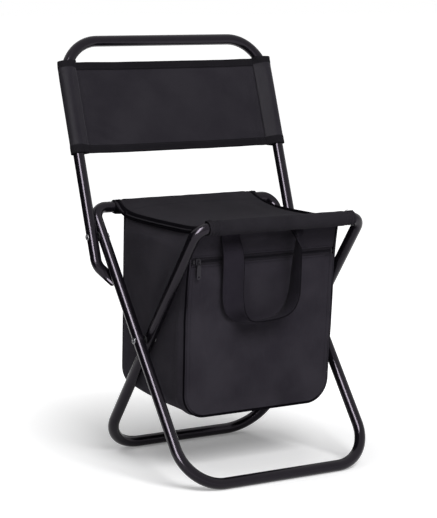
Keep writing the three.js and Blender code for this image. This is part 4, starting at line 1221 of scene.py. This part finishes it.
def front_puff(x, z):
    """How far the front panel stands out: padded between its seams, with soft hand-made lumps."""
    bottom = RAIL_HEIGHT - BAG_FRONT_DROP
    inside = edge_distance(x, z, bottom)
    below_zip = ZIP_HEIGHT - z
    swell = smoothstep(inside, -2 * MM, 34 * MM) * smoothstep(below_zip, 2 * MM, 26 * MM)
    lumps = 2.4 * MM * ripple(x / (62 * MM), z / (50 * MM), 5.5)
    lumps += 0.9 * MM * ripple(x / (24 * MM), z / (28 * MM), 9.5)
    lumps += dents(FRONT_DENTS, x, z)
    seam_pulls = 0.35 * MM * ripple(x / (7 * MM), z / (9 * MM), 2.7) * math.exp(-inside / (9 * MM))
    return (PANEL_PUFF + lumps) * swell + seam_pulls * clamp(inside / (3 * MM))


def bag_panel(name, grid, surface, thickness, look, flip=False):
    rows = [[Vector((x, surface(x, z), z)) for x, z in row] for row in grid]
    return cloth_object(name, rows, thickness, [look], flip=flip), rows


def bag_piece(piece, body, slot, *nodes):
    finished(piece, body, slot, *nodes)
    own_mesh(piece)


def yoke_y(x, z):
    sag = 1.5 * MM * ripple(x / (46 * MM), z / (20 * MM), 3.9)
    sway = 2.0 * ripple(x / (60 * MM), 1.0)
    folds = YOKE_FOLD_DEPTH * math.sin((z - YOKE_FOLD_START) / YOKE_FOLD_PITCH + sway)
    folds *= soft_dent(x, z, 0.0, YOKE_FOLD_HEIGHT, YOKE_FOLD_REACH, YOKE_FOLD_RISE)
    near_zip = smoothstep(z, ZIP_HEIGHT + 5 * MM, ZIP_HEIGHT + 16 * MM)
    near_top = smoothstep(RAIL_HEIGHT + 3 * MM - z, 0, 8 * MM)
    near_side = smoothstep(BAG_HALF_WIDTH - abs(x), 0, 12 * MM)
    return bag_front_y(z) - (sag + folds) * near_zip * near_top * near_side


def front_panel_y(x, z):
    return bag_front_y(z) - front_puff(x, z)


def bag_front():
    grid = panel_grid(RAIL_HEIGHT - BAG_FRONT_DROP, ZIP_HEIGHT - ZIP_TAPE_WIDTH + TAPE_LAP)
    panel, rows = bag_panel("bag_front_panel_cloth", grid, front_panel_y, BAG_SKIN, BAG_CLOTH)
    bag_piece(panel, "bag_front", "bag_fabric", "bag_front_panel")
    low = ZIP_HEIGHT + ZIP_TAPE_WIDTH - TAPE_LAP
    xs = spaced(-BAG_HALF_WIDTH, BAG_HALF_WIDTH, BAG_COLUMNS)
    tops = [bag_top_z(x, bag_front_y(RAIL_HEIGHT)) - FIT_GAP for x in xs]
    yoke_grid = [[(x, lerp(low, top, share)) for x, top in zip(xs, tops)]
                 for share in spaced(0, 1, YOKE_ROWS)]
    yoke, yoke_rows = bag_panel("bag_front_yoke_cloth", yoke_grid, yoke_y, BAG_SKIN, BAG_CLOTH)
    bag_piece(yoke, "bag_front", "bag_fabric", "bag_front_yoke")
    return rows, yoke_rows


def back_panel_y(x, z):
    inside = edge_distance(x, z, RAIL_HEIGHT - BAG_BACK_DROP)
    swell = smoothstep(inside, -2 * MM, 30 * MM) * smoothstep(BACK_TOP - z, 0, 20 * MM)
    lumps = 1.7 * MM * ripple(x / (62 * MM), z / (52 * MM), 15.5)
    lumps += 0.5 * MM * ripple(x / (24 * MM), z / (22 * MM), 19.5)
    return BAG_BACK_Y + (PANEL_PUFF + lumps) * swell


def bag_back():
    grid = panel_grid(RAIL_HEIGHT - BAG_BACK_DROP, BACK_TOP)
    panel, rows = bag_panel("bag_back_panel_cloth", grid, back_panel_y, BAG_SKIN, BAG_CLOTH, flip=True)
    bag_piece(panel, "cooler_bag", "bag_fabric", "bag_back_panel")
    return rows


def gusset_run(share, offset, side_steps=70, corner_steps=16, base_steps=36):
    """One run of the band round the bag, from the top of its left side to the top of its right."""
    bulge = BAG_SIDE_BULGE * math.sin(math.pi * share) ** BULGE_POWER
    half, radius = BAG_HALF_WIDTH + bulge - offset, BAG_CORNER_RADIUS - offset
    bottom = RAIL_HEIGHT - lerp(BAG_FRONT_DROP, BAG_BACK_DROP, share) + offset

    def y_at(z):
        return lerp(bag_front_y(z) + BAND_FACE_IN, BAG_BACK_Y - BAND_FACE_IN, share)

    left_top, top = (bag_top_z(x, y_at(RAIL_HEIGHT)) - MM for x in (-BAG_HALF_WIDTH, BAG_HALF_WIDTH))
    left = [(-half, z) for z in spaced(left_top, bottom + radius, side_steps)]
    turn = corner_places(half, bottom, radius, corner_steps)
    corner_left = [(-x, z) for x, z in reversed(turn)][1:]
    base = [(x, bottom) for x in spaced(-(half - radius), half - radius, base_steps)][1:-1]
    right = [(half, z) for z in spaced(bottom + radius, top, side_steps)][1:]
    points = []
    for x, z in left + corner_left + base + turn + right:
        tuck = bulge * smoothstep(z, top - 45 * MM, top - 8 * MM)
        tuck += TOP_TUCK * math.sin(math.pi * share) ** 0.5 * smoothstep(z, top - 36 * MM, top + 6 * MM)
        x = bowed(x, z) if x > SIDE_SHARE * half else x
        points.append(Vector((x - math.copysign(tuck, x), y_at(z), z)))
    return points


def on_side(p):
    return abs(p.x) > SIDE_SHARE * BAG_HALF_WIDTH


def gusset_slack(share, p):
    """Soft folds of the band, as a move along its outward normal."""
    place = math.copysign(3, p.x)
    waves = 2.2 * MM * ripple(share * 1.7, p.z / (70 * MM), 21 + place)
    for depth, drop, height in SIDE_SWELLS:
        waves += depth * MM * math.exp(-((p.z - RAIL_HEIGHT + drop * MM) / (height * MM)) ** 2)
    waves += 0.8 * MM * ripple(share * 4, p.z / (24 * MM), 31 + place)
    behind = share * (BAG_BACK_Y - BAG_FRONT_Y)
    slack = waves + dents(SIDE_FOLDS, behind, p.z) if on_side(p) else 0.5 * waves
    return math.sin(math.pi * share) ** 0.6 * slack


def soft_limit(value, limit, softness):
    """The smaller of a value and its limit, with a rounded passage from one to the other."""
    over = (value - limit) / softness
    return limit - softness * (math.log1p(math.exp(-abs(over))) + max(-over, 0.0))


def between_legs(p):
    """Cloth that would reach an inner leg lies flat against it, also where the leg sweeps past.

    The band's rows are its inner face, so its thickness goes outwards too."""
    limit = INNER_WIDTH / 2 - TUBE_RADIUS - LEG_CLEARANCE - BAG_SKIN
    return Vector((math.copysign(soft_limit(abs(p.x), limit, 0.8 * MM), p.x), p.y, p.z))


def bag_gusset():
    rows = []
    for share in (0.5 - 0.5 * math.cos(math.pi * s) for s in spaced(0, 1, BAND_ROWS)):
        run, row = gusset_run(share, 0.0), []
        for before, p, after in zip([run[0], *run], run, [*run[1:], run[-1]]):
            along = (after - before).normalized()
            p = p + Vector((along.z, 0, -along.x)).normalized() * gusset_slack(share, p)
            row.append(between_legs(p) if on_side(p) else p)
        rows.append(row)
    band = cloth_object("bag_gusset_cloth", rows, BAG_SKIN, [BAG_CLOTH])
    bag_piece(band, "cooler_bag", "bag_fabric", "bag_side_left", "bag_side_right", "bag_base")
    return rows


def piping_path(bottom, top, face_y):
    clear = PIPING_RADIUS + FIT_GAP
    half, radius, base = BAG_HALF_WIDTH + clear, BAG_CORNER_RADIUS + clear, bottom - clear
    sides = [(half, z) for z in spaced(base + radius, top, 60)][1:]
    right = corner_places(half, base, radius, 20) + sides
    left = [(-x, z) for x, z in reversed(right)]
    path = []
    for x, z in left + right:
        wobble = 0.35 * MM * ripple(x / (30 * MM), z / (30 * MM), 2.0)
        x = bowed(x, z) if x > SIDE_SHARE * half else x
        path.append(Vector((x + math.copysign(wobble, x) * 0.4, face_y(z) + wobble, z)))
    return path


def bag_piping():
    set_in = PIPING_RADIUS - 2 * FIT_GAP
    front_top = bag_top_z(BAG_HALF_WIDTH, bag_front_y(RAIL_HEIGHT)) - MM
    for name, body, drop, top, face_y in (
        ("bag_front_piping", "bag_front", BAG_FRONT_DROP, front_top, lambda z: bag_front_y(z) + set_in),
        ("bag_back_piping", "cooler_bag", BAG_BACK_DROP, BACK_TOP, lambda z: BAG_BACK_Y - set_in),
    ):
        path = piping_path(RAIL_HEIGHT - drop, top, face_y)
        cord = cord_object(name + "_cord", path, PIPING_RADIUS, PIPING_SIDES, PIPING)
        bag_piece(cord, body, "piping", name)


def bag_lining():
    """The foil skins inside the bag's walls."""
    inset = BAG_WALL + LINER_GAP
    shape = dict(columns=24, upper_rows=20, corner_rows=8, radius=BAG_CORNER_RADIUS - inset,
                 half=BAG_HALF_WIDTH - inset)
    front_top = ZIP_HEIGHT - ZIP_TAPE_WIDTH
    for side, body, drop, top, face_y, flip in (
        ("front", "bag_front", BAG_FRONT_DROP, front_top, lambda x, z: bag_front_y(z) + inset, False),
        ("back", "cooler_bag", BAG_BACK_DROP, BACK_TOP - MM, lambda x, z: BAG_BACK_Y - inset, True),
    ):
        grid = panel_grid(RAIL_HEIGHT - drop + inset, top, **shape)
        skin, _ = bag_panel(f"liner_{side}_skin", grid, face_y, LINER_THICKNESS, LINER_FOIL, flip)
        bag_piece(skin, body, "liner_foil", f"liner_{side}")
    runs = [gusset_run(share, inset + 1.5 * MM, 20, 6, 10) for share in spaced(0.03, 0.97, 12)]
    wrap = cloth_object("liner_wrap_skin", runs, LINER_THICKNESS, [LINER_FOIL])
    bag_piece(wrap, "cooler_bag", "liner_foil", "liner_wrap")


def bag_stitching(front_rows, yoke_rows, back_rows, gusset_rows):
    """Rows of stitches beside the piping and the zip."""
    above_corner, sides = CORNER_ROWS + 1, (2, len(front_rows[0]) - 3)
    front = [seam(front_rows, column_cells(front_rows, j, above_corner)) for j in sides]
    front.append(seam(front_rows, row_cells(front_rows, len(front_rows) - 2)))
    front += [seam(yoke_rows, row_cells(yoke_rows, i)) for i in (2, len(yoke_rows) - 4)]
    bag_piece(stitches_object("bag_front_stitching", front), "bag_front", "bag_fabric")
    rest = [seam(gusset_rows, row_cells(gusset_rows, i)) for i in (3, len(gusset_rows) - 4)]
    rest += [seam(back_rows, column_cells(back_rows, j, above_corner), flip=True) for j in sides]
    bag_piece(stitches_object("bag_body_stitching", rest), "cooler_bag", "bag_fabric")


# Zip

def zip_tapes():
    xs = spaced(-BAG_HALF_WIDTH + MM, BAG_HALF_WIDTH - MM, 60)
    for name, up in (("zip_tape_upper", 1), ("zip_tape_lower", -1)):
        rows = []
        for distance in spaced(0.5 * MM, ZIP_TAPE_WIDTH + 1.5 * MM, 10):
            depth = ZIP_FACE + 0.5 * MM * smoothstep(distance, 3 * MM, ZIP_TAPE_WIDTH)
            rows.append([Vector((x, depth, ZIP_HEIGHT + up * distance)) for x in xs])
        tape = cloth_object(name + "_cloth", rows, TAPE_THICKNESS, [ZIP_TAPE], flip=up < 0)
        bag_piece(tape, "bag_front", "zip_tape", name)


def zip_teeth():
    """Interlocked teeth: small rounded blocks that alternate between the two tapes."""
    half = BAG_HALF_WIDTH - 4 * MM
    base = [(-1, 0, -1), (1, 0, -1), (1, 0, 1), (-1, 0, 1)]
    corners = base + [(0.6 * x, -1, 0.8 * z) for x, _, z in base]
    block = [(0, 1, 5, 4), (1, 2, 6, 5), (2, 3, 7, 6), (3, 0, 4, 7), (4, 5, 6, 7), (3, 2, 1, 0)]
    points, faces = [], []
    for k in range(int(2 * half / TOOTH_PITCH)):
        middle = Vector((TOOTH_PITCH * (k + 0.5) - half, ZIP_FACE,
                         ZIP_HEIGHT + (TOOTH_OFFSET if k % 2 else -TOOTH_OFFSET)))
        faces += [tuple(len(points) + v for v in side) for side in block]
        points += [middle + Vector(corner) * TOOTH_SIZE for corner in corners]
    teeth = mesh_object("zip_teeth", points, faces, [ZIP_NYLON])
    bag_piece(teeth, "bag_front", "zip_tape")


def beveled(piece, width):
    bevel = piece.modifiers.new("edges", "BEVEL")
    bevel.width = width
    bevel.segments = 3
    bevel.limit_method = "ANGLE"
    piece.modifiers.new("shade", "WEIGHTED_NORMAL")


def extruded(name, outline, holes, depth, place, bevel):
    """A flat zip piece cut from an outline with holes, given in X and Z, with its depth along Y."""
    curve = bpy.data.curves.new(name, "CURVE")
    curve.dimensions = "2D"
    curve.fill_mode = "BOTH"
    curve.extrude = depth / 2
    for loop in (outline, *holes):
        spline = curve.splines.new("POLY")
        spline.points.add(len(loop) - 1)
        for point, (x, z) in zip(spline.points, loop):
            point.co = (x, z, 0, 1)
        spline.use_cyclic_u = True
    source = bpy.data.objects.new(name + "_outline", curve)
    bpy.context.scene.collection.objects.link(source)
    graph = bpy.context.evaluated_depsgraph_get()
    mesh = bpy.data.meshes.new_from_object(source.evaluated_get(graph))
    bpy.data.objects.remove(source)
    mesh.transform(place @ Matrix.Rotation(math.pi / 2, 4, "X"))
    mesh.materials.clear()
    mesh.materials.append(ZIP_METAL)
    made = bpy.data.objects.new(name, mesh)
    bpy.context.scene.collection.objects.link(made)
    beveled(made, bevel)
    return made


def arc(x, z, radius, start, end, count):
    """Points of an arc in X and Z, with its angles in quarter turns."""
    return [(x + radius * math.cos(angle), z + radius * math.sin(angle))
            for angle in spaced(start * math.pi / 2, end * math.pi / 2, count)]


def rounded_rectangle(width, height, radius, middle_z=0.0):
    across, up = width / 2 - radius, height / 2 - radius
    corners = ((across, up), (-across, up), (-across, -up), (across, -up))
    return [place for quarter, (x, z) in enumerate(corners)
            for place in arc(x, middle_z + z, radius, quarter, quarter + 1, 6)]


def zip_slider():
    """The slider's shield-shaped plate, with the bridge that the puller hangs on."""
    low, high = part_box("zip_slider")
    width, height = high.x - low.x, high.z - low.z
    middle = Vector(((low.x + high.x) / 2, high.y, ZIP_HEIGHT))
    plate = [(x * width, z * height) for x, z in PLATE_SHARES]
    at = Matrix.Translation(middle - Vector((0, MM, 0)))
    body = extruded("zip_slider_body", plate, [], 1.8 * MM, at, 0.35 * MM)
    half = [Vector((0, -out, up)) * MM for out, up in BRIDGE_LINE]
    path = [middle + p for p in half] + [middle + Vector((0, p.y, -p.z)) for p in half[-2::-1]]
    bridge = cord_object("zip_slider_bridge", path, 0.62 * MM, 12, ZIP_METAL, Vector((1, 0, 0)))
    finished(body, "zip_slider", "zip_metal", "zip_slider")
    finished(bridge, "zip_slider", "zip_metal")


def zip_stops():
    for name in ("zip_stop_left", "zip_stop_right"):
        low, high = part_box(name)
        size, at = high - low, Matrix.Translation((low + high) / 2)
        outline = rounded_rectangle(size.x, size.z, 0.7 * MM)
        stop = extruded(name + "_block", outline, [], size.y, at, 0.25 * MM)
        finished(stop, "bag_front", "zip_metal", name)


def zip_puller():
    """A flat tab with an eye at its top and a hole near its round end."""
    low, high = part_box("zip_puller")
    width, thickness = high.x - low.x, high.y - low.y
    top, bottom = high.z - PULLER_AXIS.z, low.z - PULLER_AXIS.z
    half, neck = width / 2, width * 0.36
    round_end = arc(0, bottom + half, half, 2, 4, 16)
    outline = [(-neck, top), (-neck, top - PULLER_NECK), (-half, top - PULLER_SHOULDER)]
    outline += round_end + [(-x, z) for x, z in reversed(outline)]
    eye = rounded_rectangle(neck * 1.15, 3.9 * MM, 0.9 * MM, top - 3.1 * MM)
    hole = arc(0, bottom + half + 0.4 * MM, PULLER_HOLE_RADIUS, 0, 4, 20)[:-1]
    at = Matrix.Translation(PULLER_AXIS)
    tab = extruded("zip_puller_tab", outline, [eye, hole], thickness * 0.9, at, 0.22 * MM)
    finished(tab, "zip_puller", "zip_metal", "zip_puller")


# Carry strap

# The strap's middle line over the front panel: across and up in millimetres, how far its width
# is turned from flat, and how far its near edge is tipped up, in degrees.
STRAP_ROUTE = (
    (-60, 352, 0, 0), (-60, 343, 0, 0), (-60, 332, 6, 0), (-59, 315, 20, 0), (-57.5, 295, 31, 0),
    (-56.5, 270, 35, 0), (-55, 250, 41, 0), (-50, 234, 57, 2), (-38, 223.5, 78, 6),
    (-22, 221, 88, 9), (-4, 221.5, 90, 9), (12, 223, 90, 8), (26, 228, 90, 5), (36.5, 238, 90, 3),
    (41.5, 252, 91, 0), (43, 270, 94, 0), (42.6, 290, 97, 0), (42.2, 307, 101, 0),
    (43, 323, 109, 0), (44.4, 333, 119, 0), (46, 340, 138, 0), (47, 346.5, 168, 0), (47, 352, 180, 0),
)


def catmull_rom(points, count):
    """A spline through points, at stations that are shared evenly along it."""
    ends = [points[0] * 2 - points[1], *points, points[-1] * 2 - points[-2]]
    dense = []
    for p0, p1, p2, p3 in zip(ends, ends[1:], ends[2:], ends[3:]):
        for t in spaced(0, 1, SPLINE_STEPS)[:-1]:
            bend = (p2 - p0) * t + (2 * p0 - 5 * p1 + 4 * p2 - p3) * t ** 2
            dense.append(p1 + (bend + (3 * p1 - p0 - 3 * p2 + p3) * t ** 3) / 2)
    dense.append(points[-1])
    reach = [0.0]
    for a, b in zip(dense, dense[1:]):
        reach.append(reach[-1] + math.hypot(b[0] - a[0], b[1] - a[1]))
    made = []
    for want in spaced(0, reach[-1], count):
        i = clamp(int(np.searchsorted(reach, want)) - 1, 0, len(dense) - 2)
        share = (want - reach[i]) / (reach[i + 1] - reach[i])
        made.append(dense[i].lerp(dense[i + 1], clamp(share)))
    return made


def strap_stations():
    """The strap's middle line and the direction of its width, from one sewn end to the other."""
    route = [Vector((x * MM + STRAP_SHIFT, z * MM, turn, tip)) for x, z, turn, tip in STRAP_ROUTE]
    stations = []
    for x, z, turn, tip in catmull_rom(route, STRAP_STATIONS):
        turn, tip = math.radians(turn), math.radians(tip)
        gap = lerp(STRAP_SEAM_GAP, STRAP_HAND_GAP, smoothstep(STRAP_TOP - z, 0, STRAP_RISE))
        stand_off = gap + STRAP_WIDTH / 2 * math.sin(turn)
        width = Vector((math.cos(turn), -math.sin(turn) * math.cos(tip), math.sin(tip)))
        stations.append((Vector((x, bag_front_y(z) - stand_off, z)), width))
    return stations


def held_by_seam(p):
    """The seam holds the strap's end against the yoke, so it stands off less the nearer it comes."""
    z = soft_limit(p.z, STRAP_END, MM)
    room = STRAP_SEAM_ROOM + 1.1 * max(STRAP_END - z, 0.0)
    stand_off = soft_limit(bag_front_y(z) - p.y, room, MM)
    return Vector((p.x, bag_front_y(z) - stand_off, z))


def strap_rows():
    stations = strap_stations()
    rows = []
    for k, ((point, width), tangent) in enumerate(zip(stations, tangents([p for p, _ in stations]))):
        across = (width - tangent * width.dot(tangent)).normalized()
        out = across.cross(tangent)
        free = smoothstep(STRAP_TOP - point.z, 2 * MM, 40 * MM)
        section = []
        for share in spaced(-1, 1, STRAP_COLUMNS):
            cup = -STRAP_CUP * free * share ** 2 * (1.6 if share < 0 else 0.7)
            crumple = 0.5 * MM * free * ripple(k / 13, share * 1.3, 12.0)
            place = point + across * share * STRAP_WIDTH / 2 + out * (cup + crumple)
            section.append(held_by_seam(place))
        rows.append(section)
    return rows


def strap_piece(piece, *nodes):
    """Hides the CAD nodes that a piece of the strap stands for, and bakes its placement into its mesh."""
    if nodes:
        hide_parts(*nodes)
    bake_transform(piece)


def strap_stitching(rows, flip):
    """A seam along both edges, on both faces, and a crossed box at each sewn end."""
    face = WEBBING_THICKNESS / 2 + 0.05 * MM
    first, last = STRAP_SEAM_COLUMN, STRAP_COLUMNS - STRAP_SEAM_COLUMN
    lines = [seam(rows, column_cells(rows, j), side, face) for j in (first, last) for side in (False, True)]
    for start in (STRAP_CROSS_START, len(rows) - 1 - STRAP_CROSS_START - STRAP_CROSS_ROWS):
        span = range(start, start + STRAP_CROSS_ROWS)
        for i in (span[0], span[-1]):
            lines.append(seam(rows, row_cells(rows, i, range(first, last + 1)), flip, face))
        crossing = [round(lerp(first, last, n / (STRAP_CROSS_ROWS - 1))) for n in range(STRAP_CROSS_ROWS)]
        lines.append(seam(rows, list(zip(span, crossing)), flip, face))
        lines.append(seam(rows, [(i, STRAP_COLUMNS - j) for i, j in zip(span, crossing)], flip, face))
    strap_piece(stitches_object("carry_strap_stitching", lines))


def carry_strap():
    rows, middle = strap_rows(), STRAP_COLUMNS // 2
    flip = row_normals(rows, STRAP_CROSS_START - 1, middle).y >= 0
    strap = cloth_object("carry_strap_webbing", rows, WEBBING_THICKNESS, [WEBBING], flip=flip)
    strap.modifiers["thickness"].offset = 0
    strap_piece(strap, "carry_strap")
    strap_stitching(rows, flip)


# CAD nodes that keep their own shape

def kept_nodes():
    for name in ("outer_frame_spigot", "inner_frame_spigot"):
        materials = frame["nodes"][name].data.materials
        materials.clear()
        materials.append(SPIGOT_STEEL)


# Camera, light and floor

CAMERA_PLACE = Vector((-1.5978, -2.3805, 0.7468))
CAMERA_TARGET = Vector((-0.0245, -0.0304, 0.2948))
CAMERA_ROLL = math.radians(-1.10)
CAMERA_LENS = 139.8
SENSOR_WIDTH = 36

LIGHT_TARGET = Vector((0, 0, 0.3))
LIGHT_DISTANCE = 2.6
AMBIENT = 0.265

# The black screen's feet in X and Y, and its lower and upper edge
SCREEN_FEET = ((-0.62, -0.15), (-0.62, 0.7), (-0.4, 1.15), (0.1, 1.4), (0.7, 1.35), (1.15, 1.0))
SCREEN_EDGES = (0.002, 0.8)

FLOOR_HALF = 14.0
FLOOR_DROP = 0.2 * MM


def camera():
    data = bpy.data.cameras.new("camera")
    data.lens = CAMERA_LENS
    data.sensor_width = SENSOR_WIDTH
    made = bpy.data.objects.new("camera", data)
    bpy.context.scene.collection.objects.link(made)
    back = (CAMERA_PLACE - CAMERA_TARGET).normalized()
    right = Vector((0, 0, 1)).cross(back).normalized()
    up = back.cross(right)
    rolled_right = right * math.cos(CAMERA_ROLL) - up * math.sin(CAMERA_ROLL)
    rolled_up = right * math.sin(CAMERA_ROLL) + up * math.cos(CAMERA_ROLL)
    turn = Matrix((rolled_right, rolled_up, back)).transposed()
    made.matrix_world = Matrix.Translation(CAMERA_PLACE) @ turn.to_4x4()
    bpy.context.scene.camera = made


def area_light(name, azimuth, elevation, size, radiance, glossy=False):
    """A softbox that faces the stool. One kind lights the cloth, the other is seen in the paint."""
    azimuth, elevation = math.radians(azimuth), math.radians(elevation)
    back = Vector((math.sin(azimuth) * math.cos(elevation),
                   -math.cos(azimuth) * math.cos(elevation), math.sin(elevation)))
    data = bpy.data.lights.new(name, "AREA")
    data.shape = "RECTANGLE"
    data.size, data.size_y = size
    data.energy = radiance * math.pi * size[0] * size[1]
    made = bpy.data.objects.new(name, data)
    bpy.context.scene.collection.objects.link(made)
    turn = back.to_track_quat("Z", "Y").to_matrix().to_4x4()
    made.matrix_world = Matrix.Translation(LIGHT_TARGET + back * LIGHT_DISTANCE) @ turn
    made.visible_glossy = glossy
    made.visible_diffuse = not glossy


def lights():
    area_light("key", -6, 38, (1.4, 1.2), 11.3)
    area_light("fill", -95, 58, (1.0, 1.0), 2.9)
    area_light("softbox", -54, 34, (0.95, 2.6), 34, glossy=True)


def dark_card():
    """A black studio screen beside and behind the stool. Only the gloss of the paint reflects it."""
    corners = [Vector((x, y, z)) for x, y in SCREEN_FEET for z in SCREEN_EDGES]
    card = mesh_object("dark_card", corners, grid_faces(len(SCREEN_FEET), 2), [PLUG_PLASTIC])
    card.visible_camera = card.visible_diffuse = card.visible_shadow = False


def world():
    """White to the camera and in reflections, and dimmer as a light."""
    made = bpy.data.worlds.new("studio")
    bpy.context.scene.world = made
    made.use_nodes = True
    nodes = Nodes(made.node_tree)
    background = made.node_tree.nodes["Background"].inputs
    nodes.plug(color(1, 1, 1), background["Color"])
    nodes.plug(nodes.ranged(nodes.seen_white(), 0, 1, AMBIENT, 1), background["Strength"])


def floor():
    """A pale floor that shows white in the picture and keeps the stool's shadow near it. Its glow for the
    camera and in reflections grows with distance from the stool: painted light that whitens the lamps'
    shadows away from it.
    """
    corners = [Vector((x * FLOOR_HALF, y * FLOOR_HALF, -FLOOR_DROP))
               for x, y in ((-1, -1), (1, -1), (1, 1), (-1, 1))]
    look = Look("floor")
    look.set(Base_Color=color(0.88, 0.88, 0.885), Roughness=0.9, Specular_IOR_Level=0.1)
    distance = look.node("ShaderNodeVectorMath", operation="LENGTH")
    look.link(look.coordinates(), distance.inputs[0])
    # Painted light: the glow grows with distance from the stool and whitens the lamps' shadows on the floor
    # there.
    glow_away_from_stool = look.ranged(distance.outputs["Value"], 0.12, 0.5, 0.14, 0.8)
    look.set(Emission_Color=color(1, 1, 1), Emission_Strength=look.math("MULTIPLY", look.seen_white(), glow_away_from_stool))
    mesh_object("floor", corners, [(0, 1, 2, 3)], [look.material])


camera()
lights()
dark_card()
world()
floor()
frame_tubes()
fasteners()
tail_plugs()
kept_nodes()
backrest_fabric()
seat()
front_rows, yoke_rows = bag_front()
back_rows = bag_back()
gusset_rows = bag_gusset()
bag_piping()
bag_lining()
bag_stitching(front_rows, yoke_rows, back_rows, gusset_rows)
zip_tapes()
zip_teeth()
zip_slider()
zip_stops()
zip_puller()
carry_strap()

bpy.context.scene.view_settings.view_transform = "Standard"
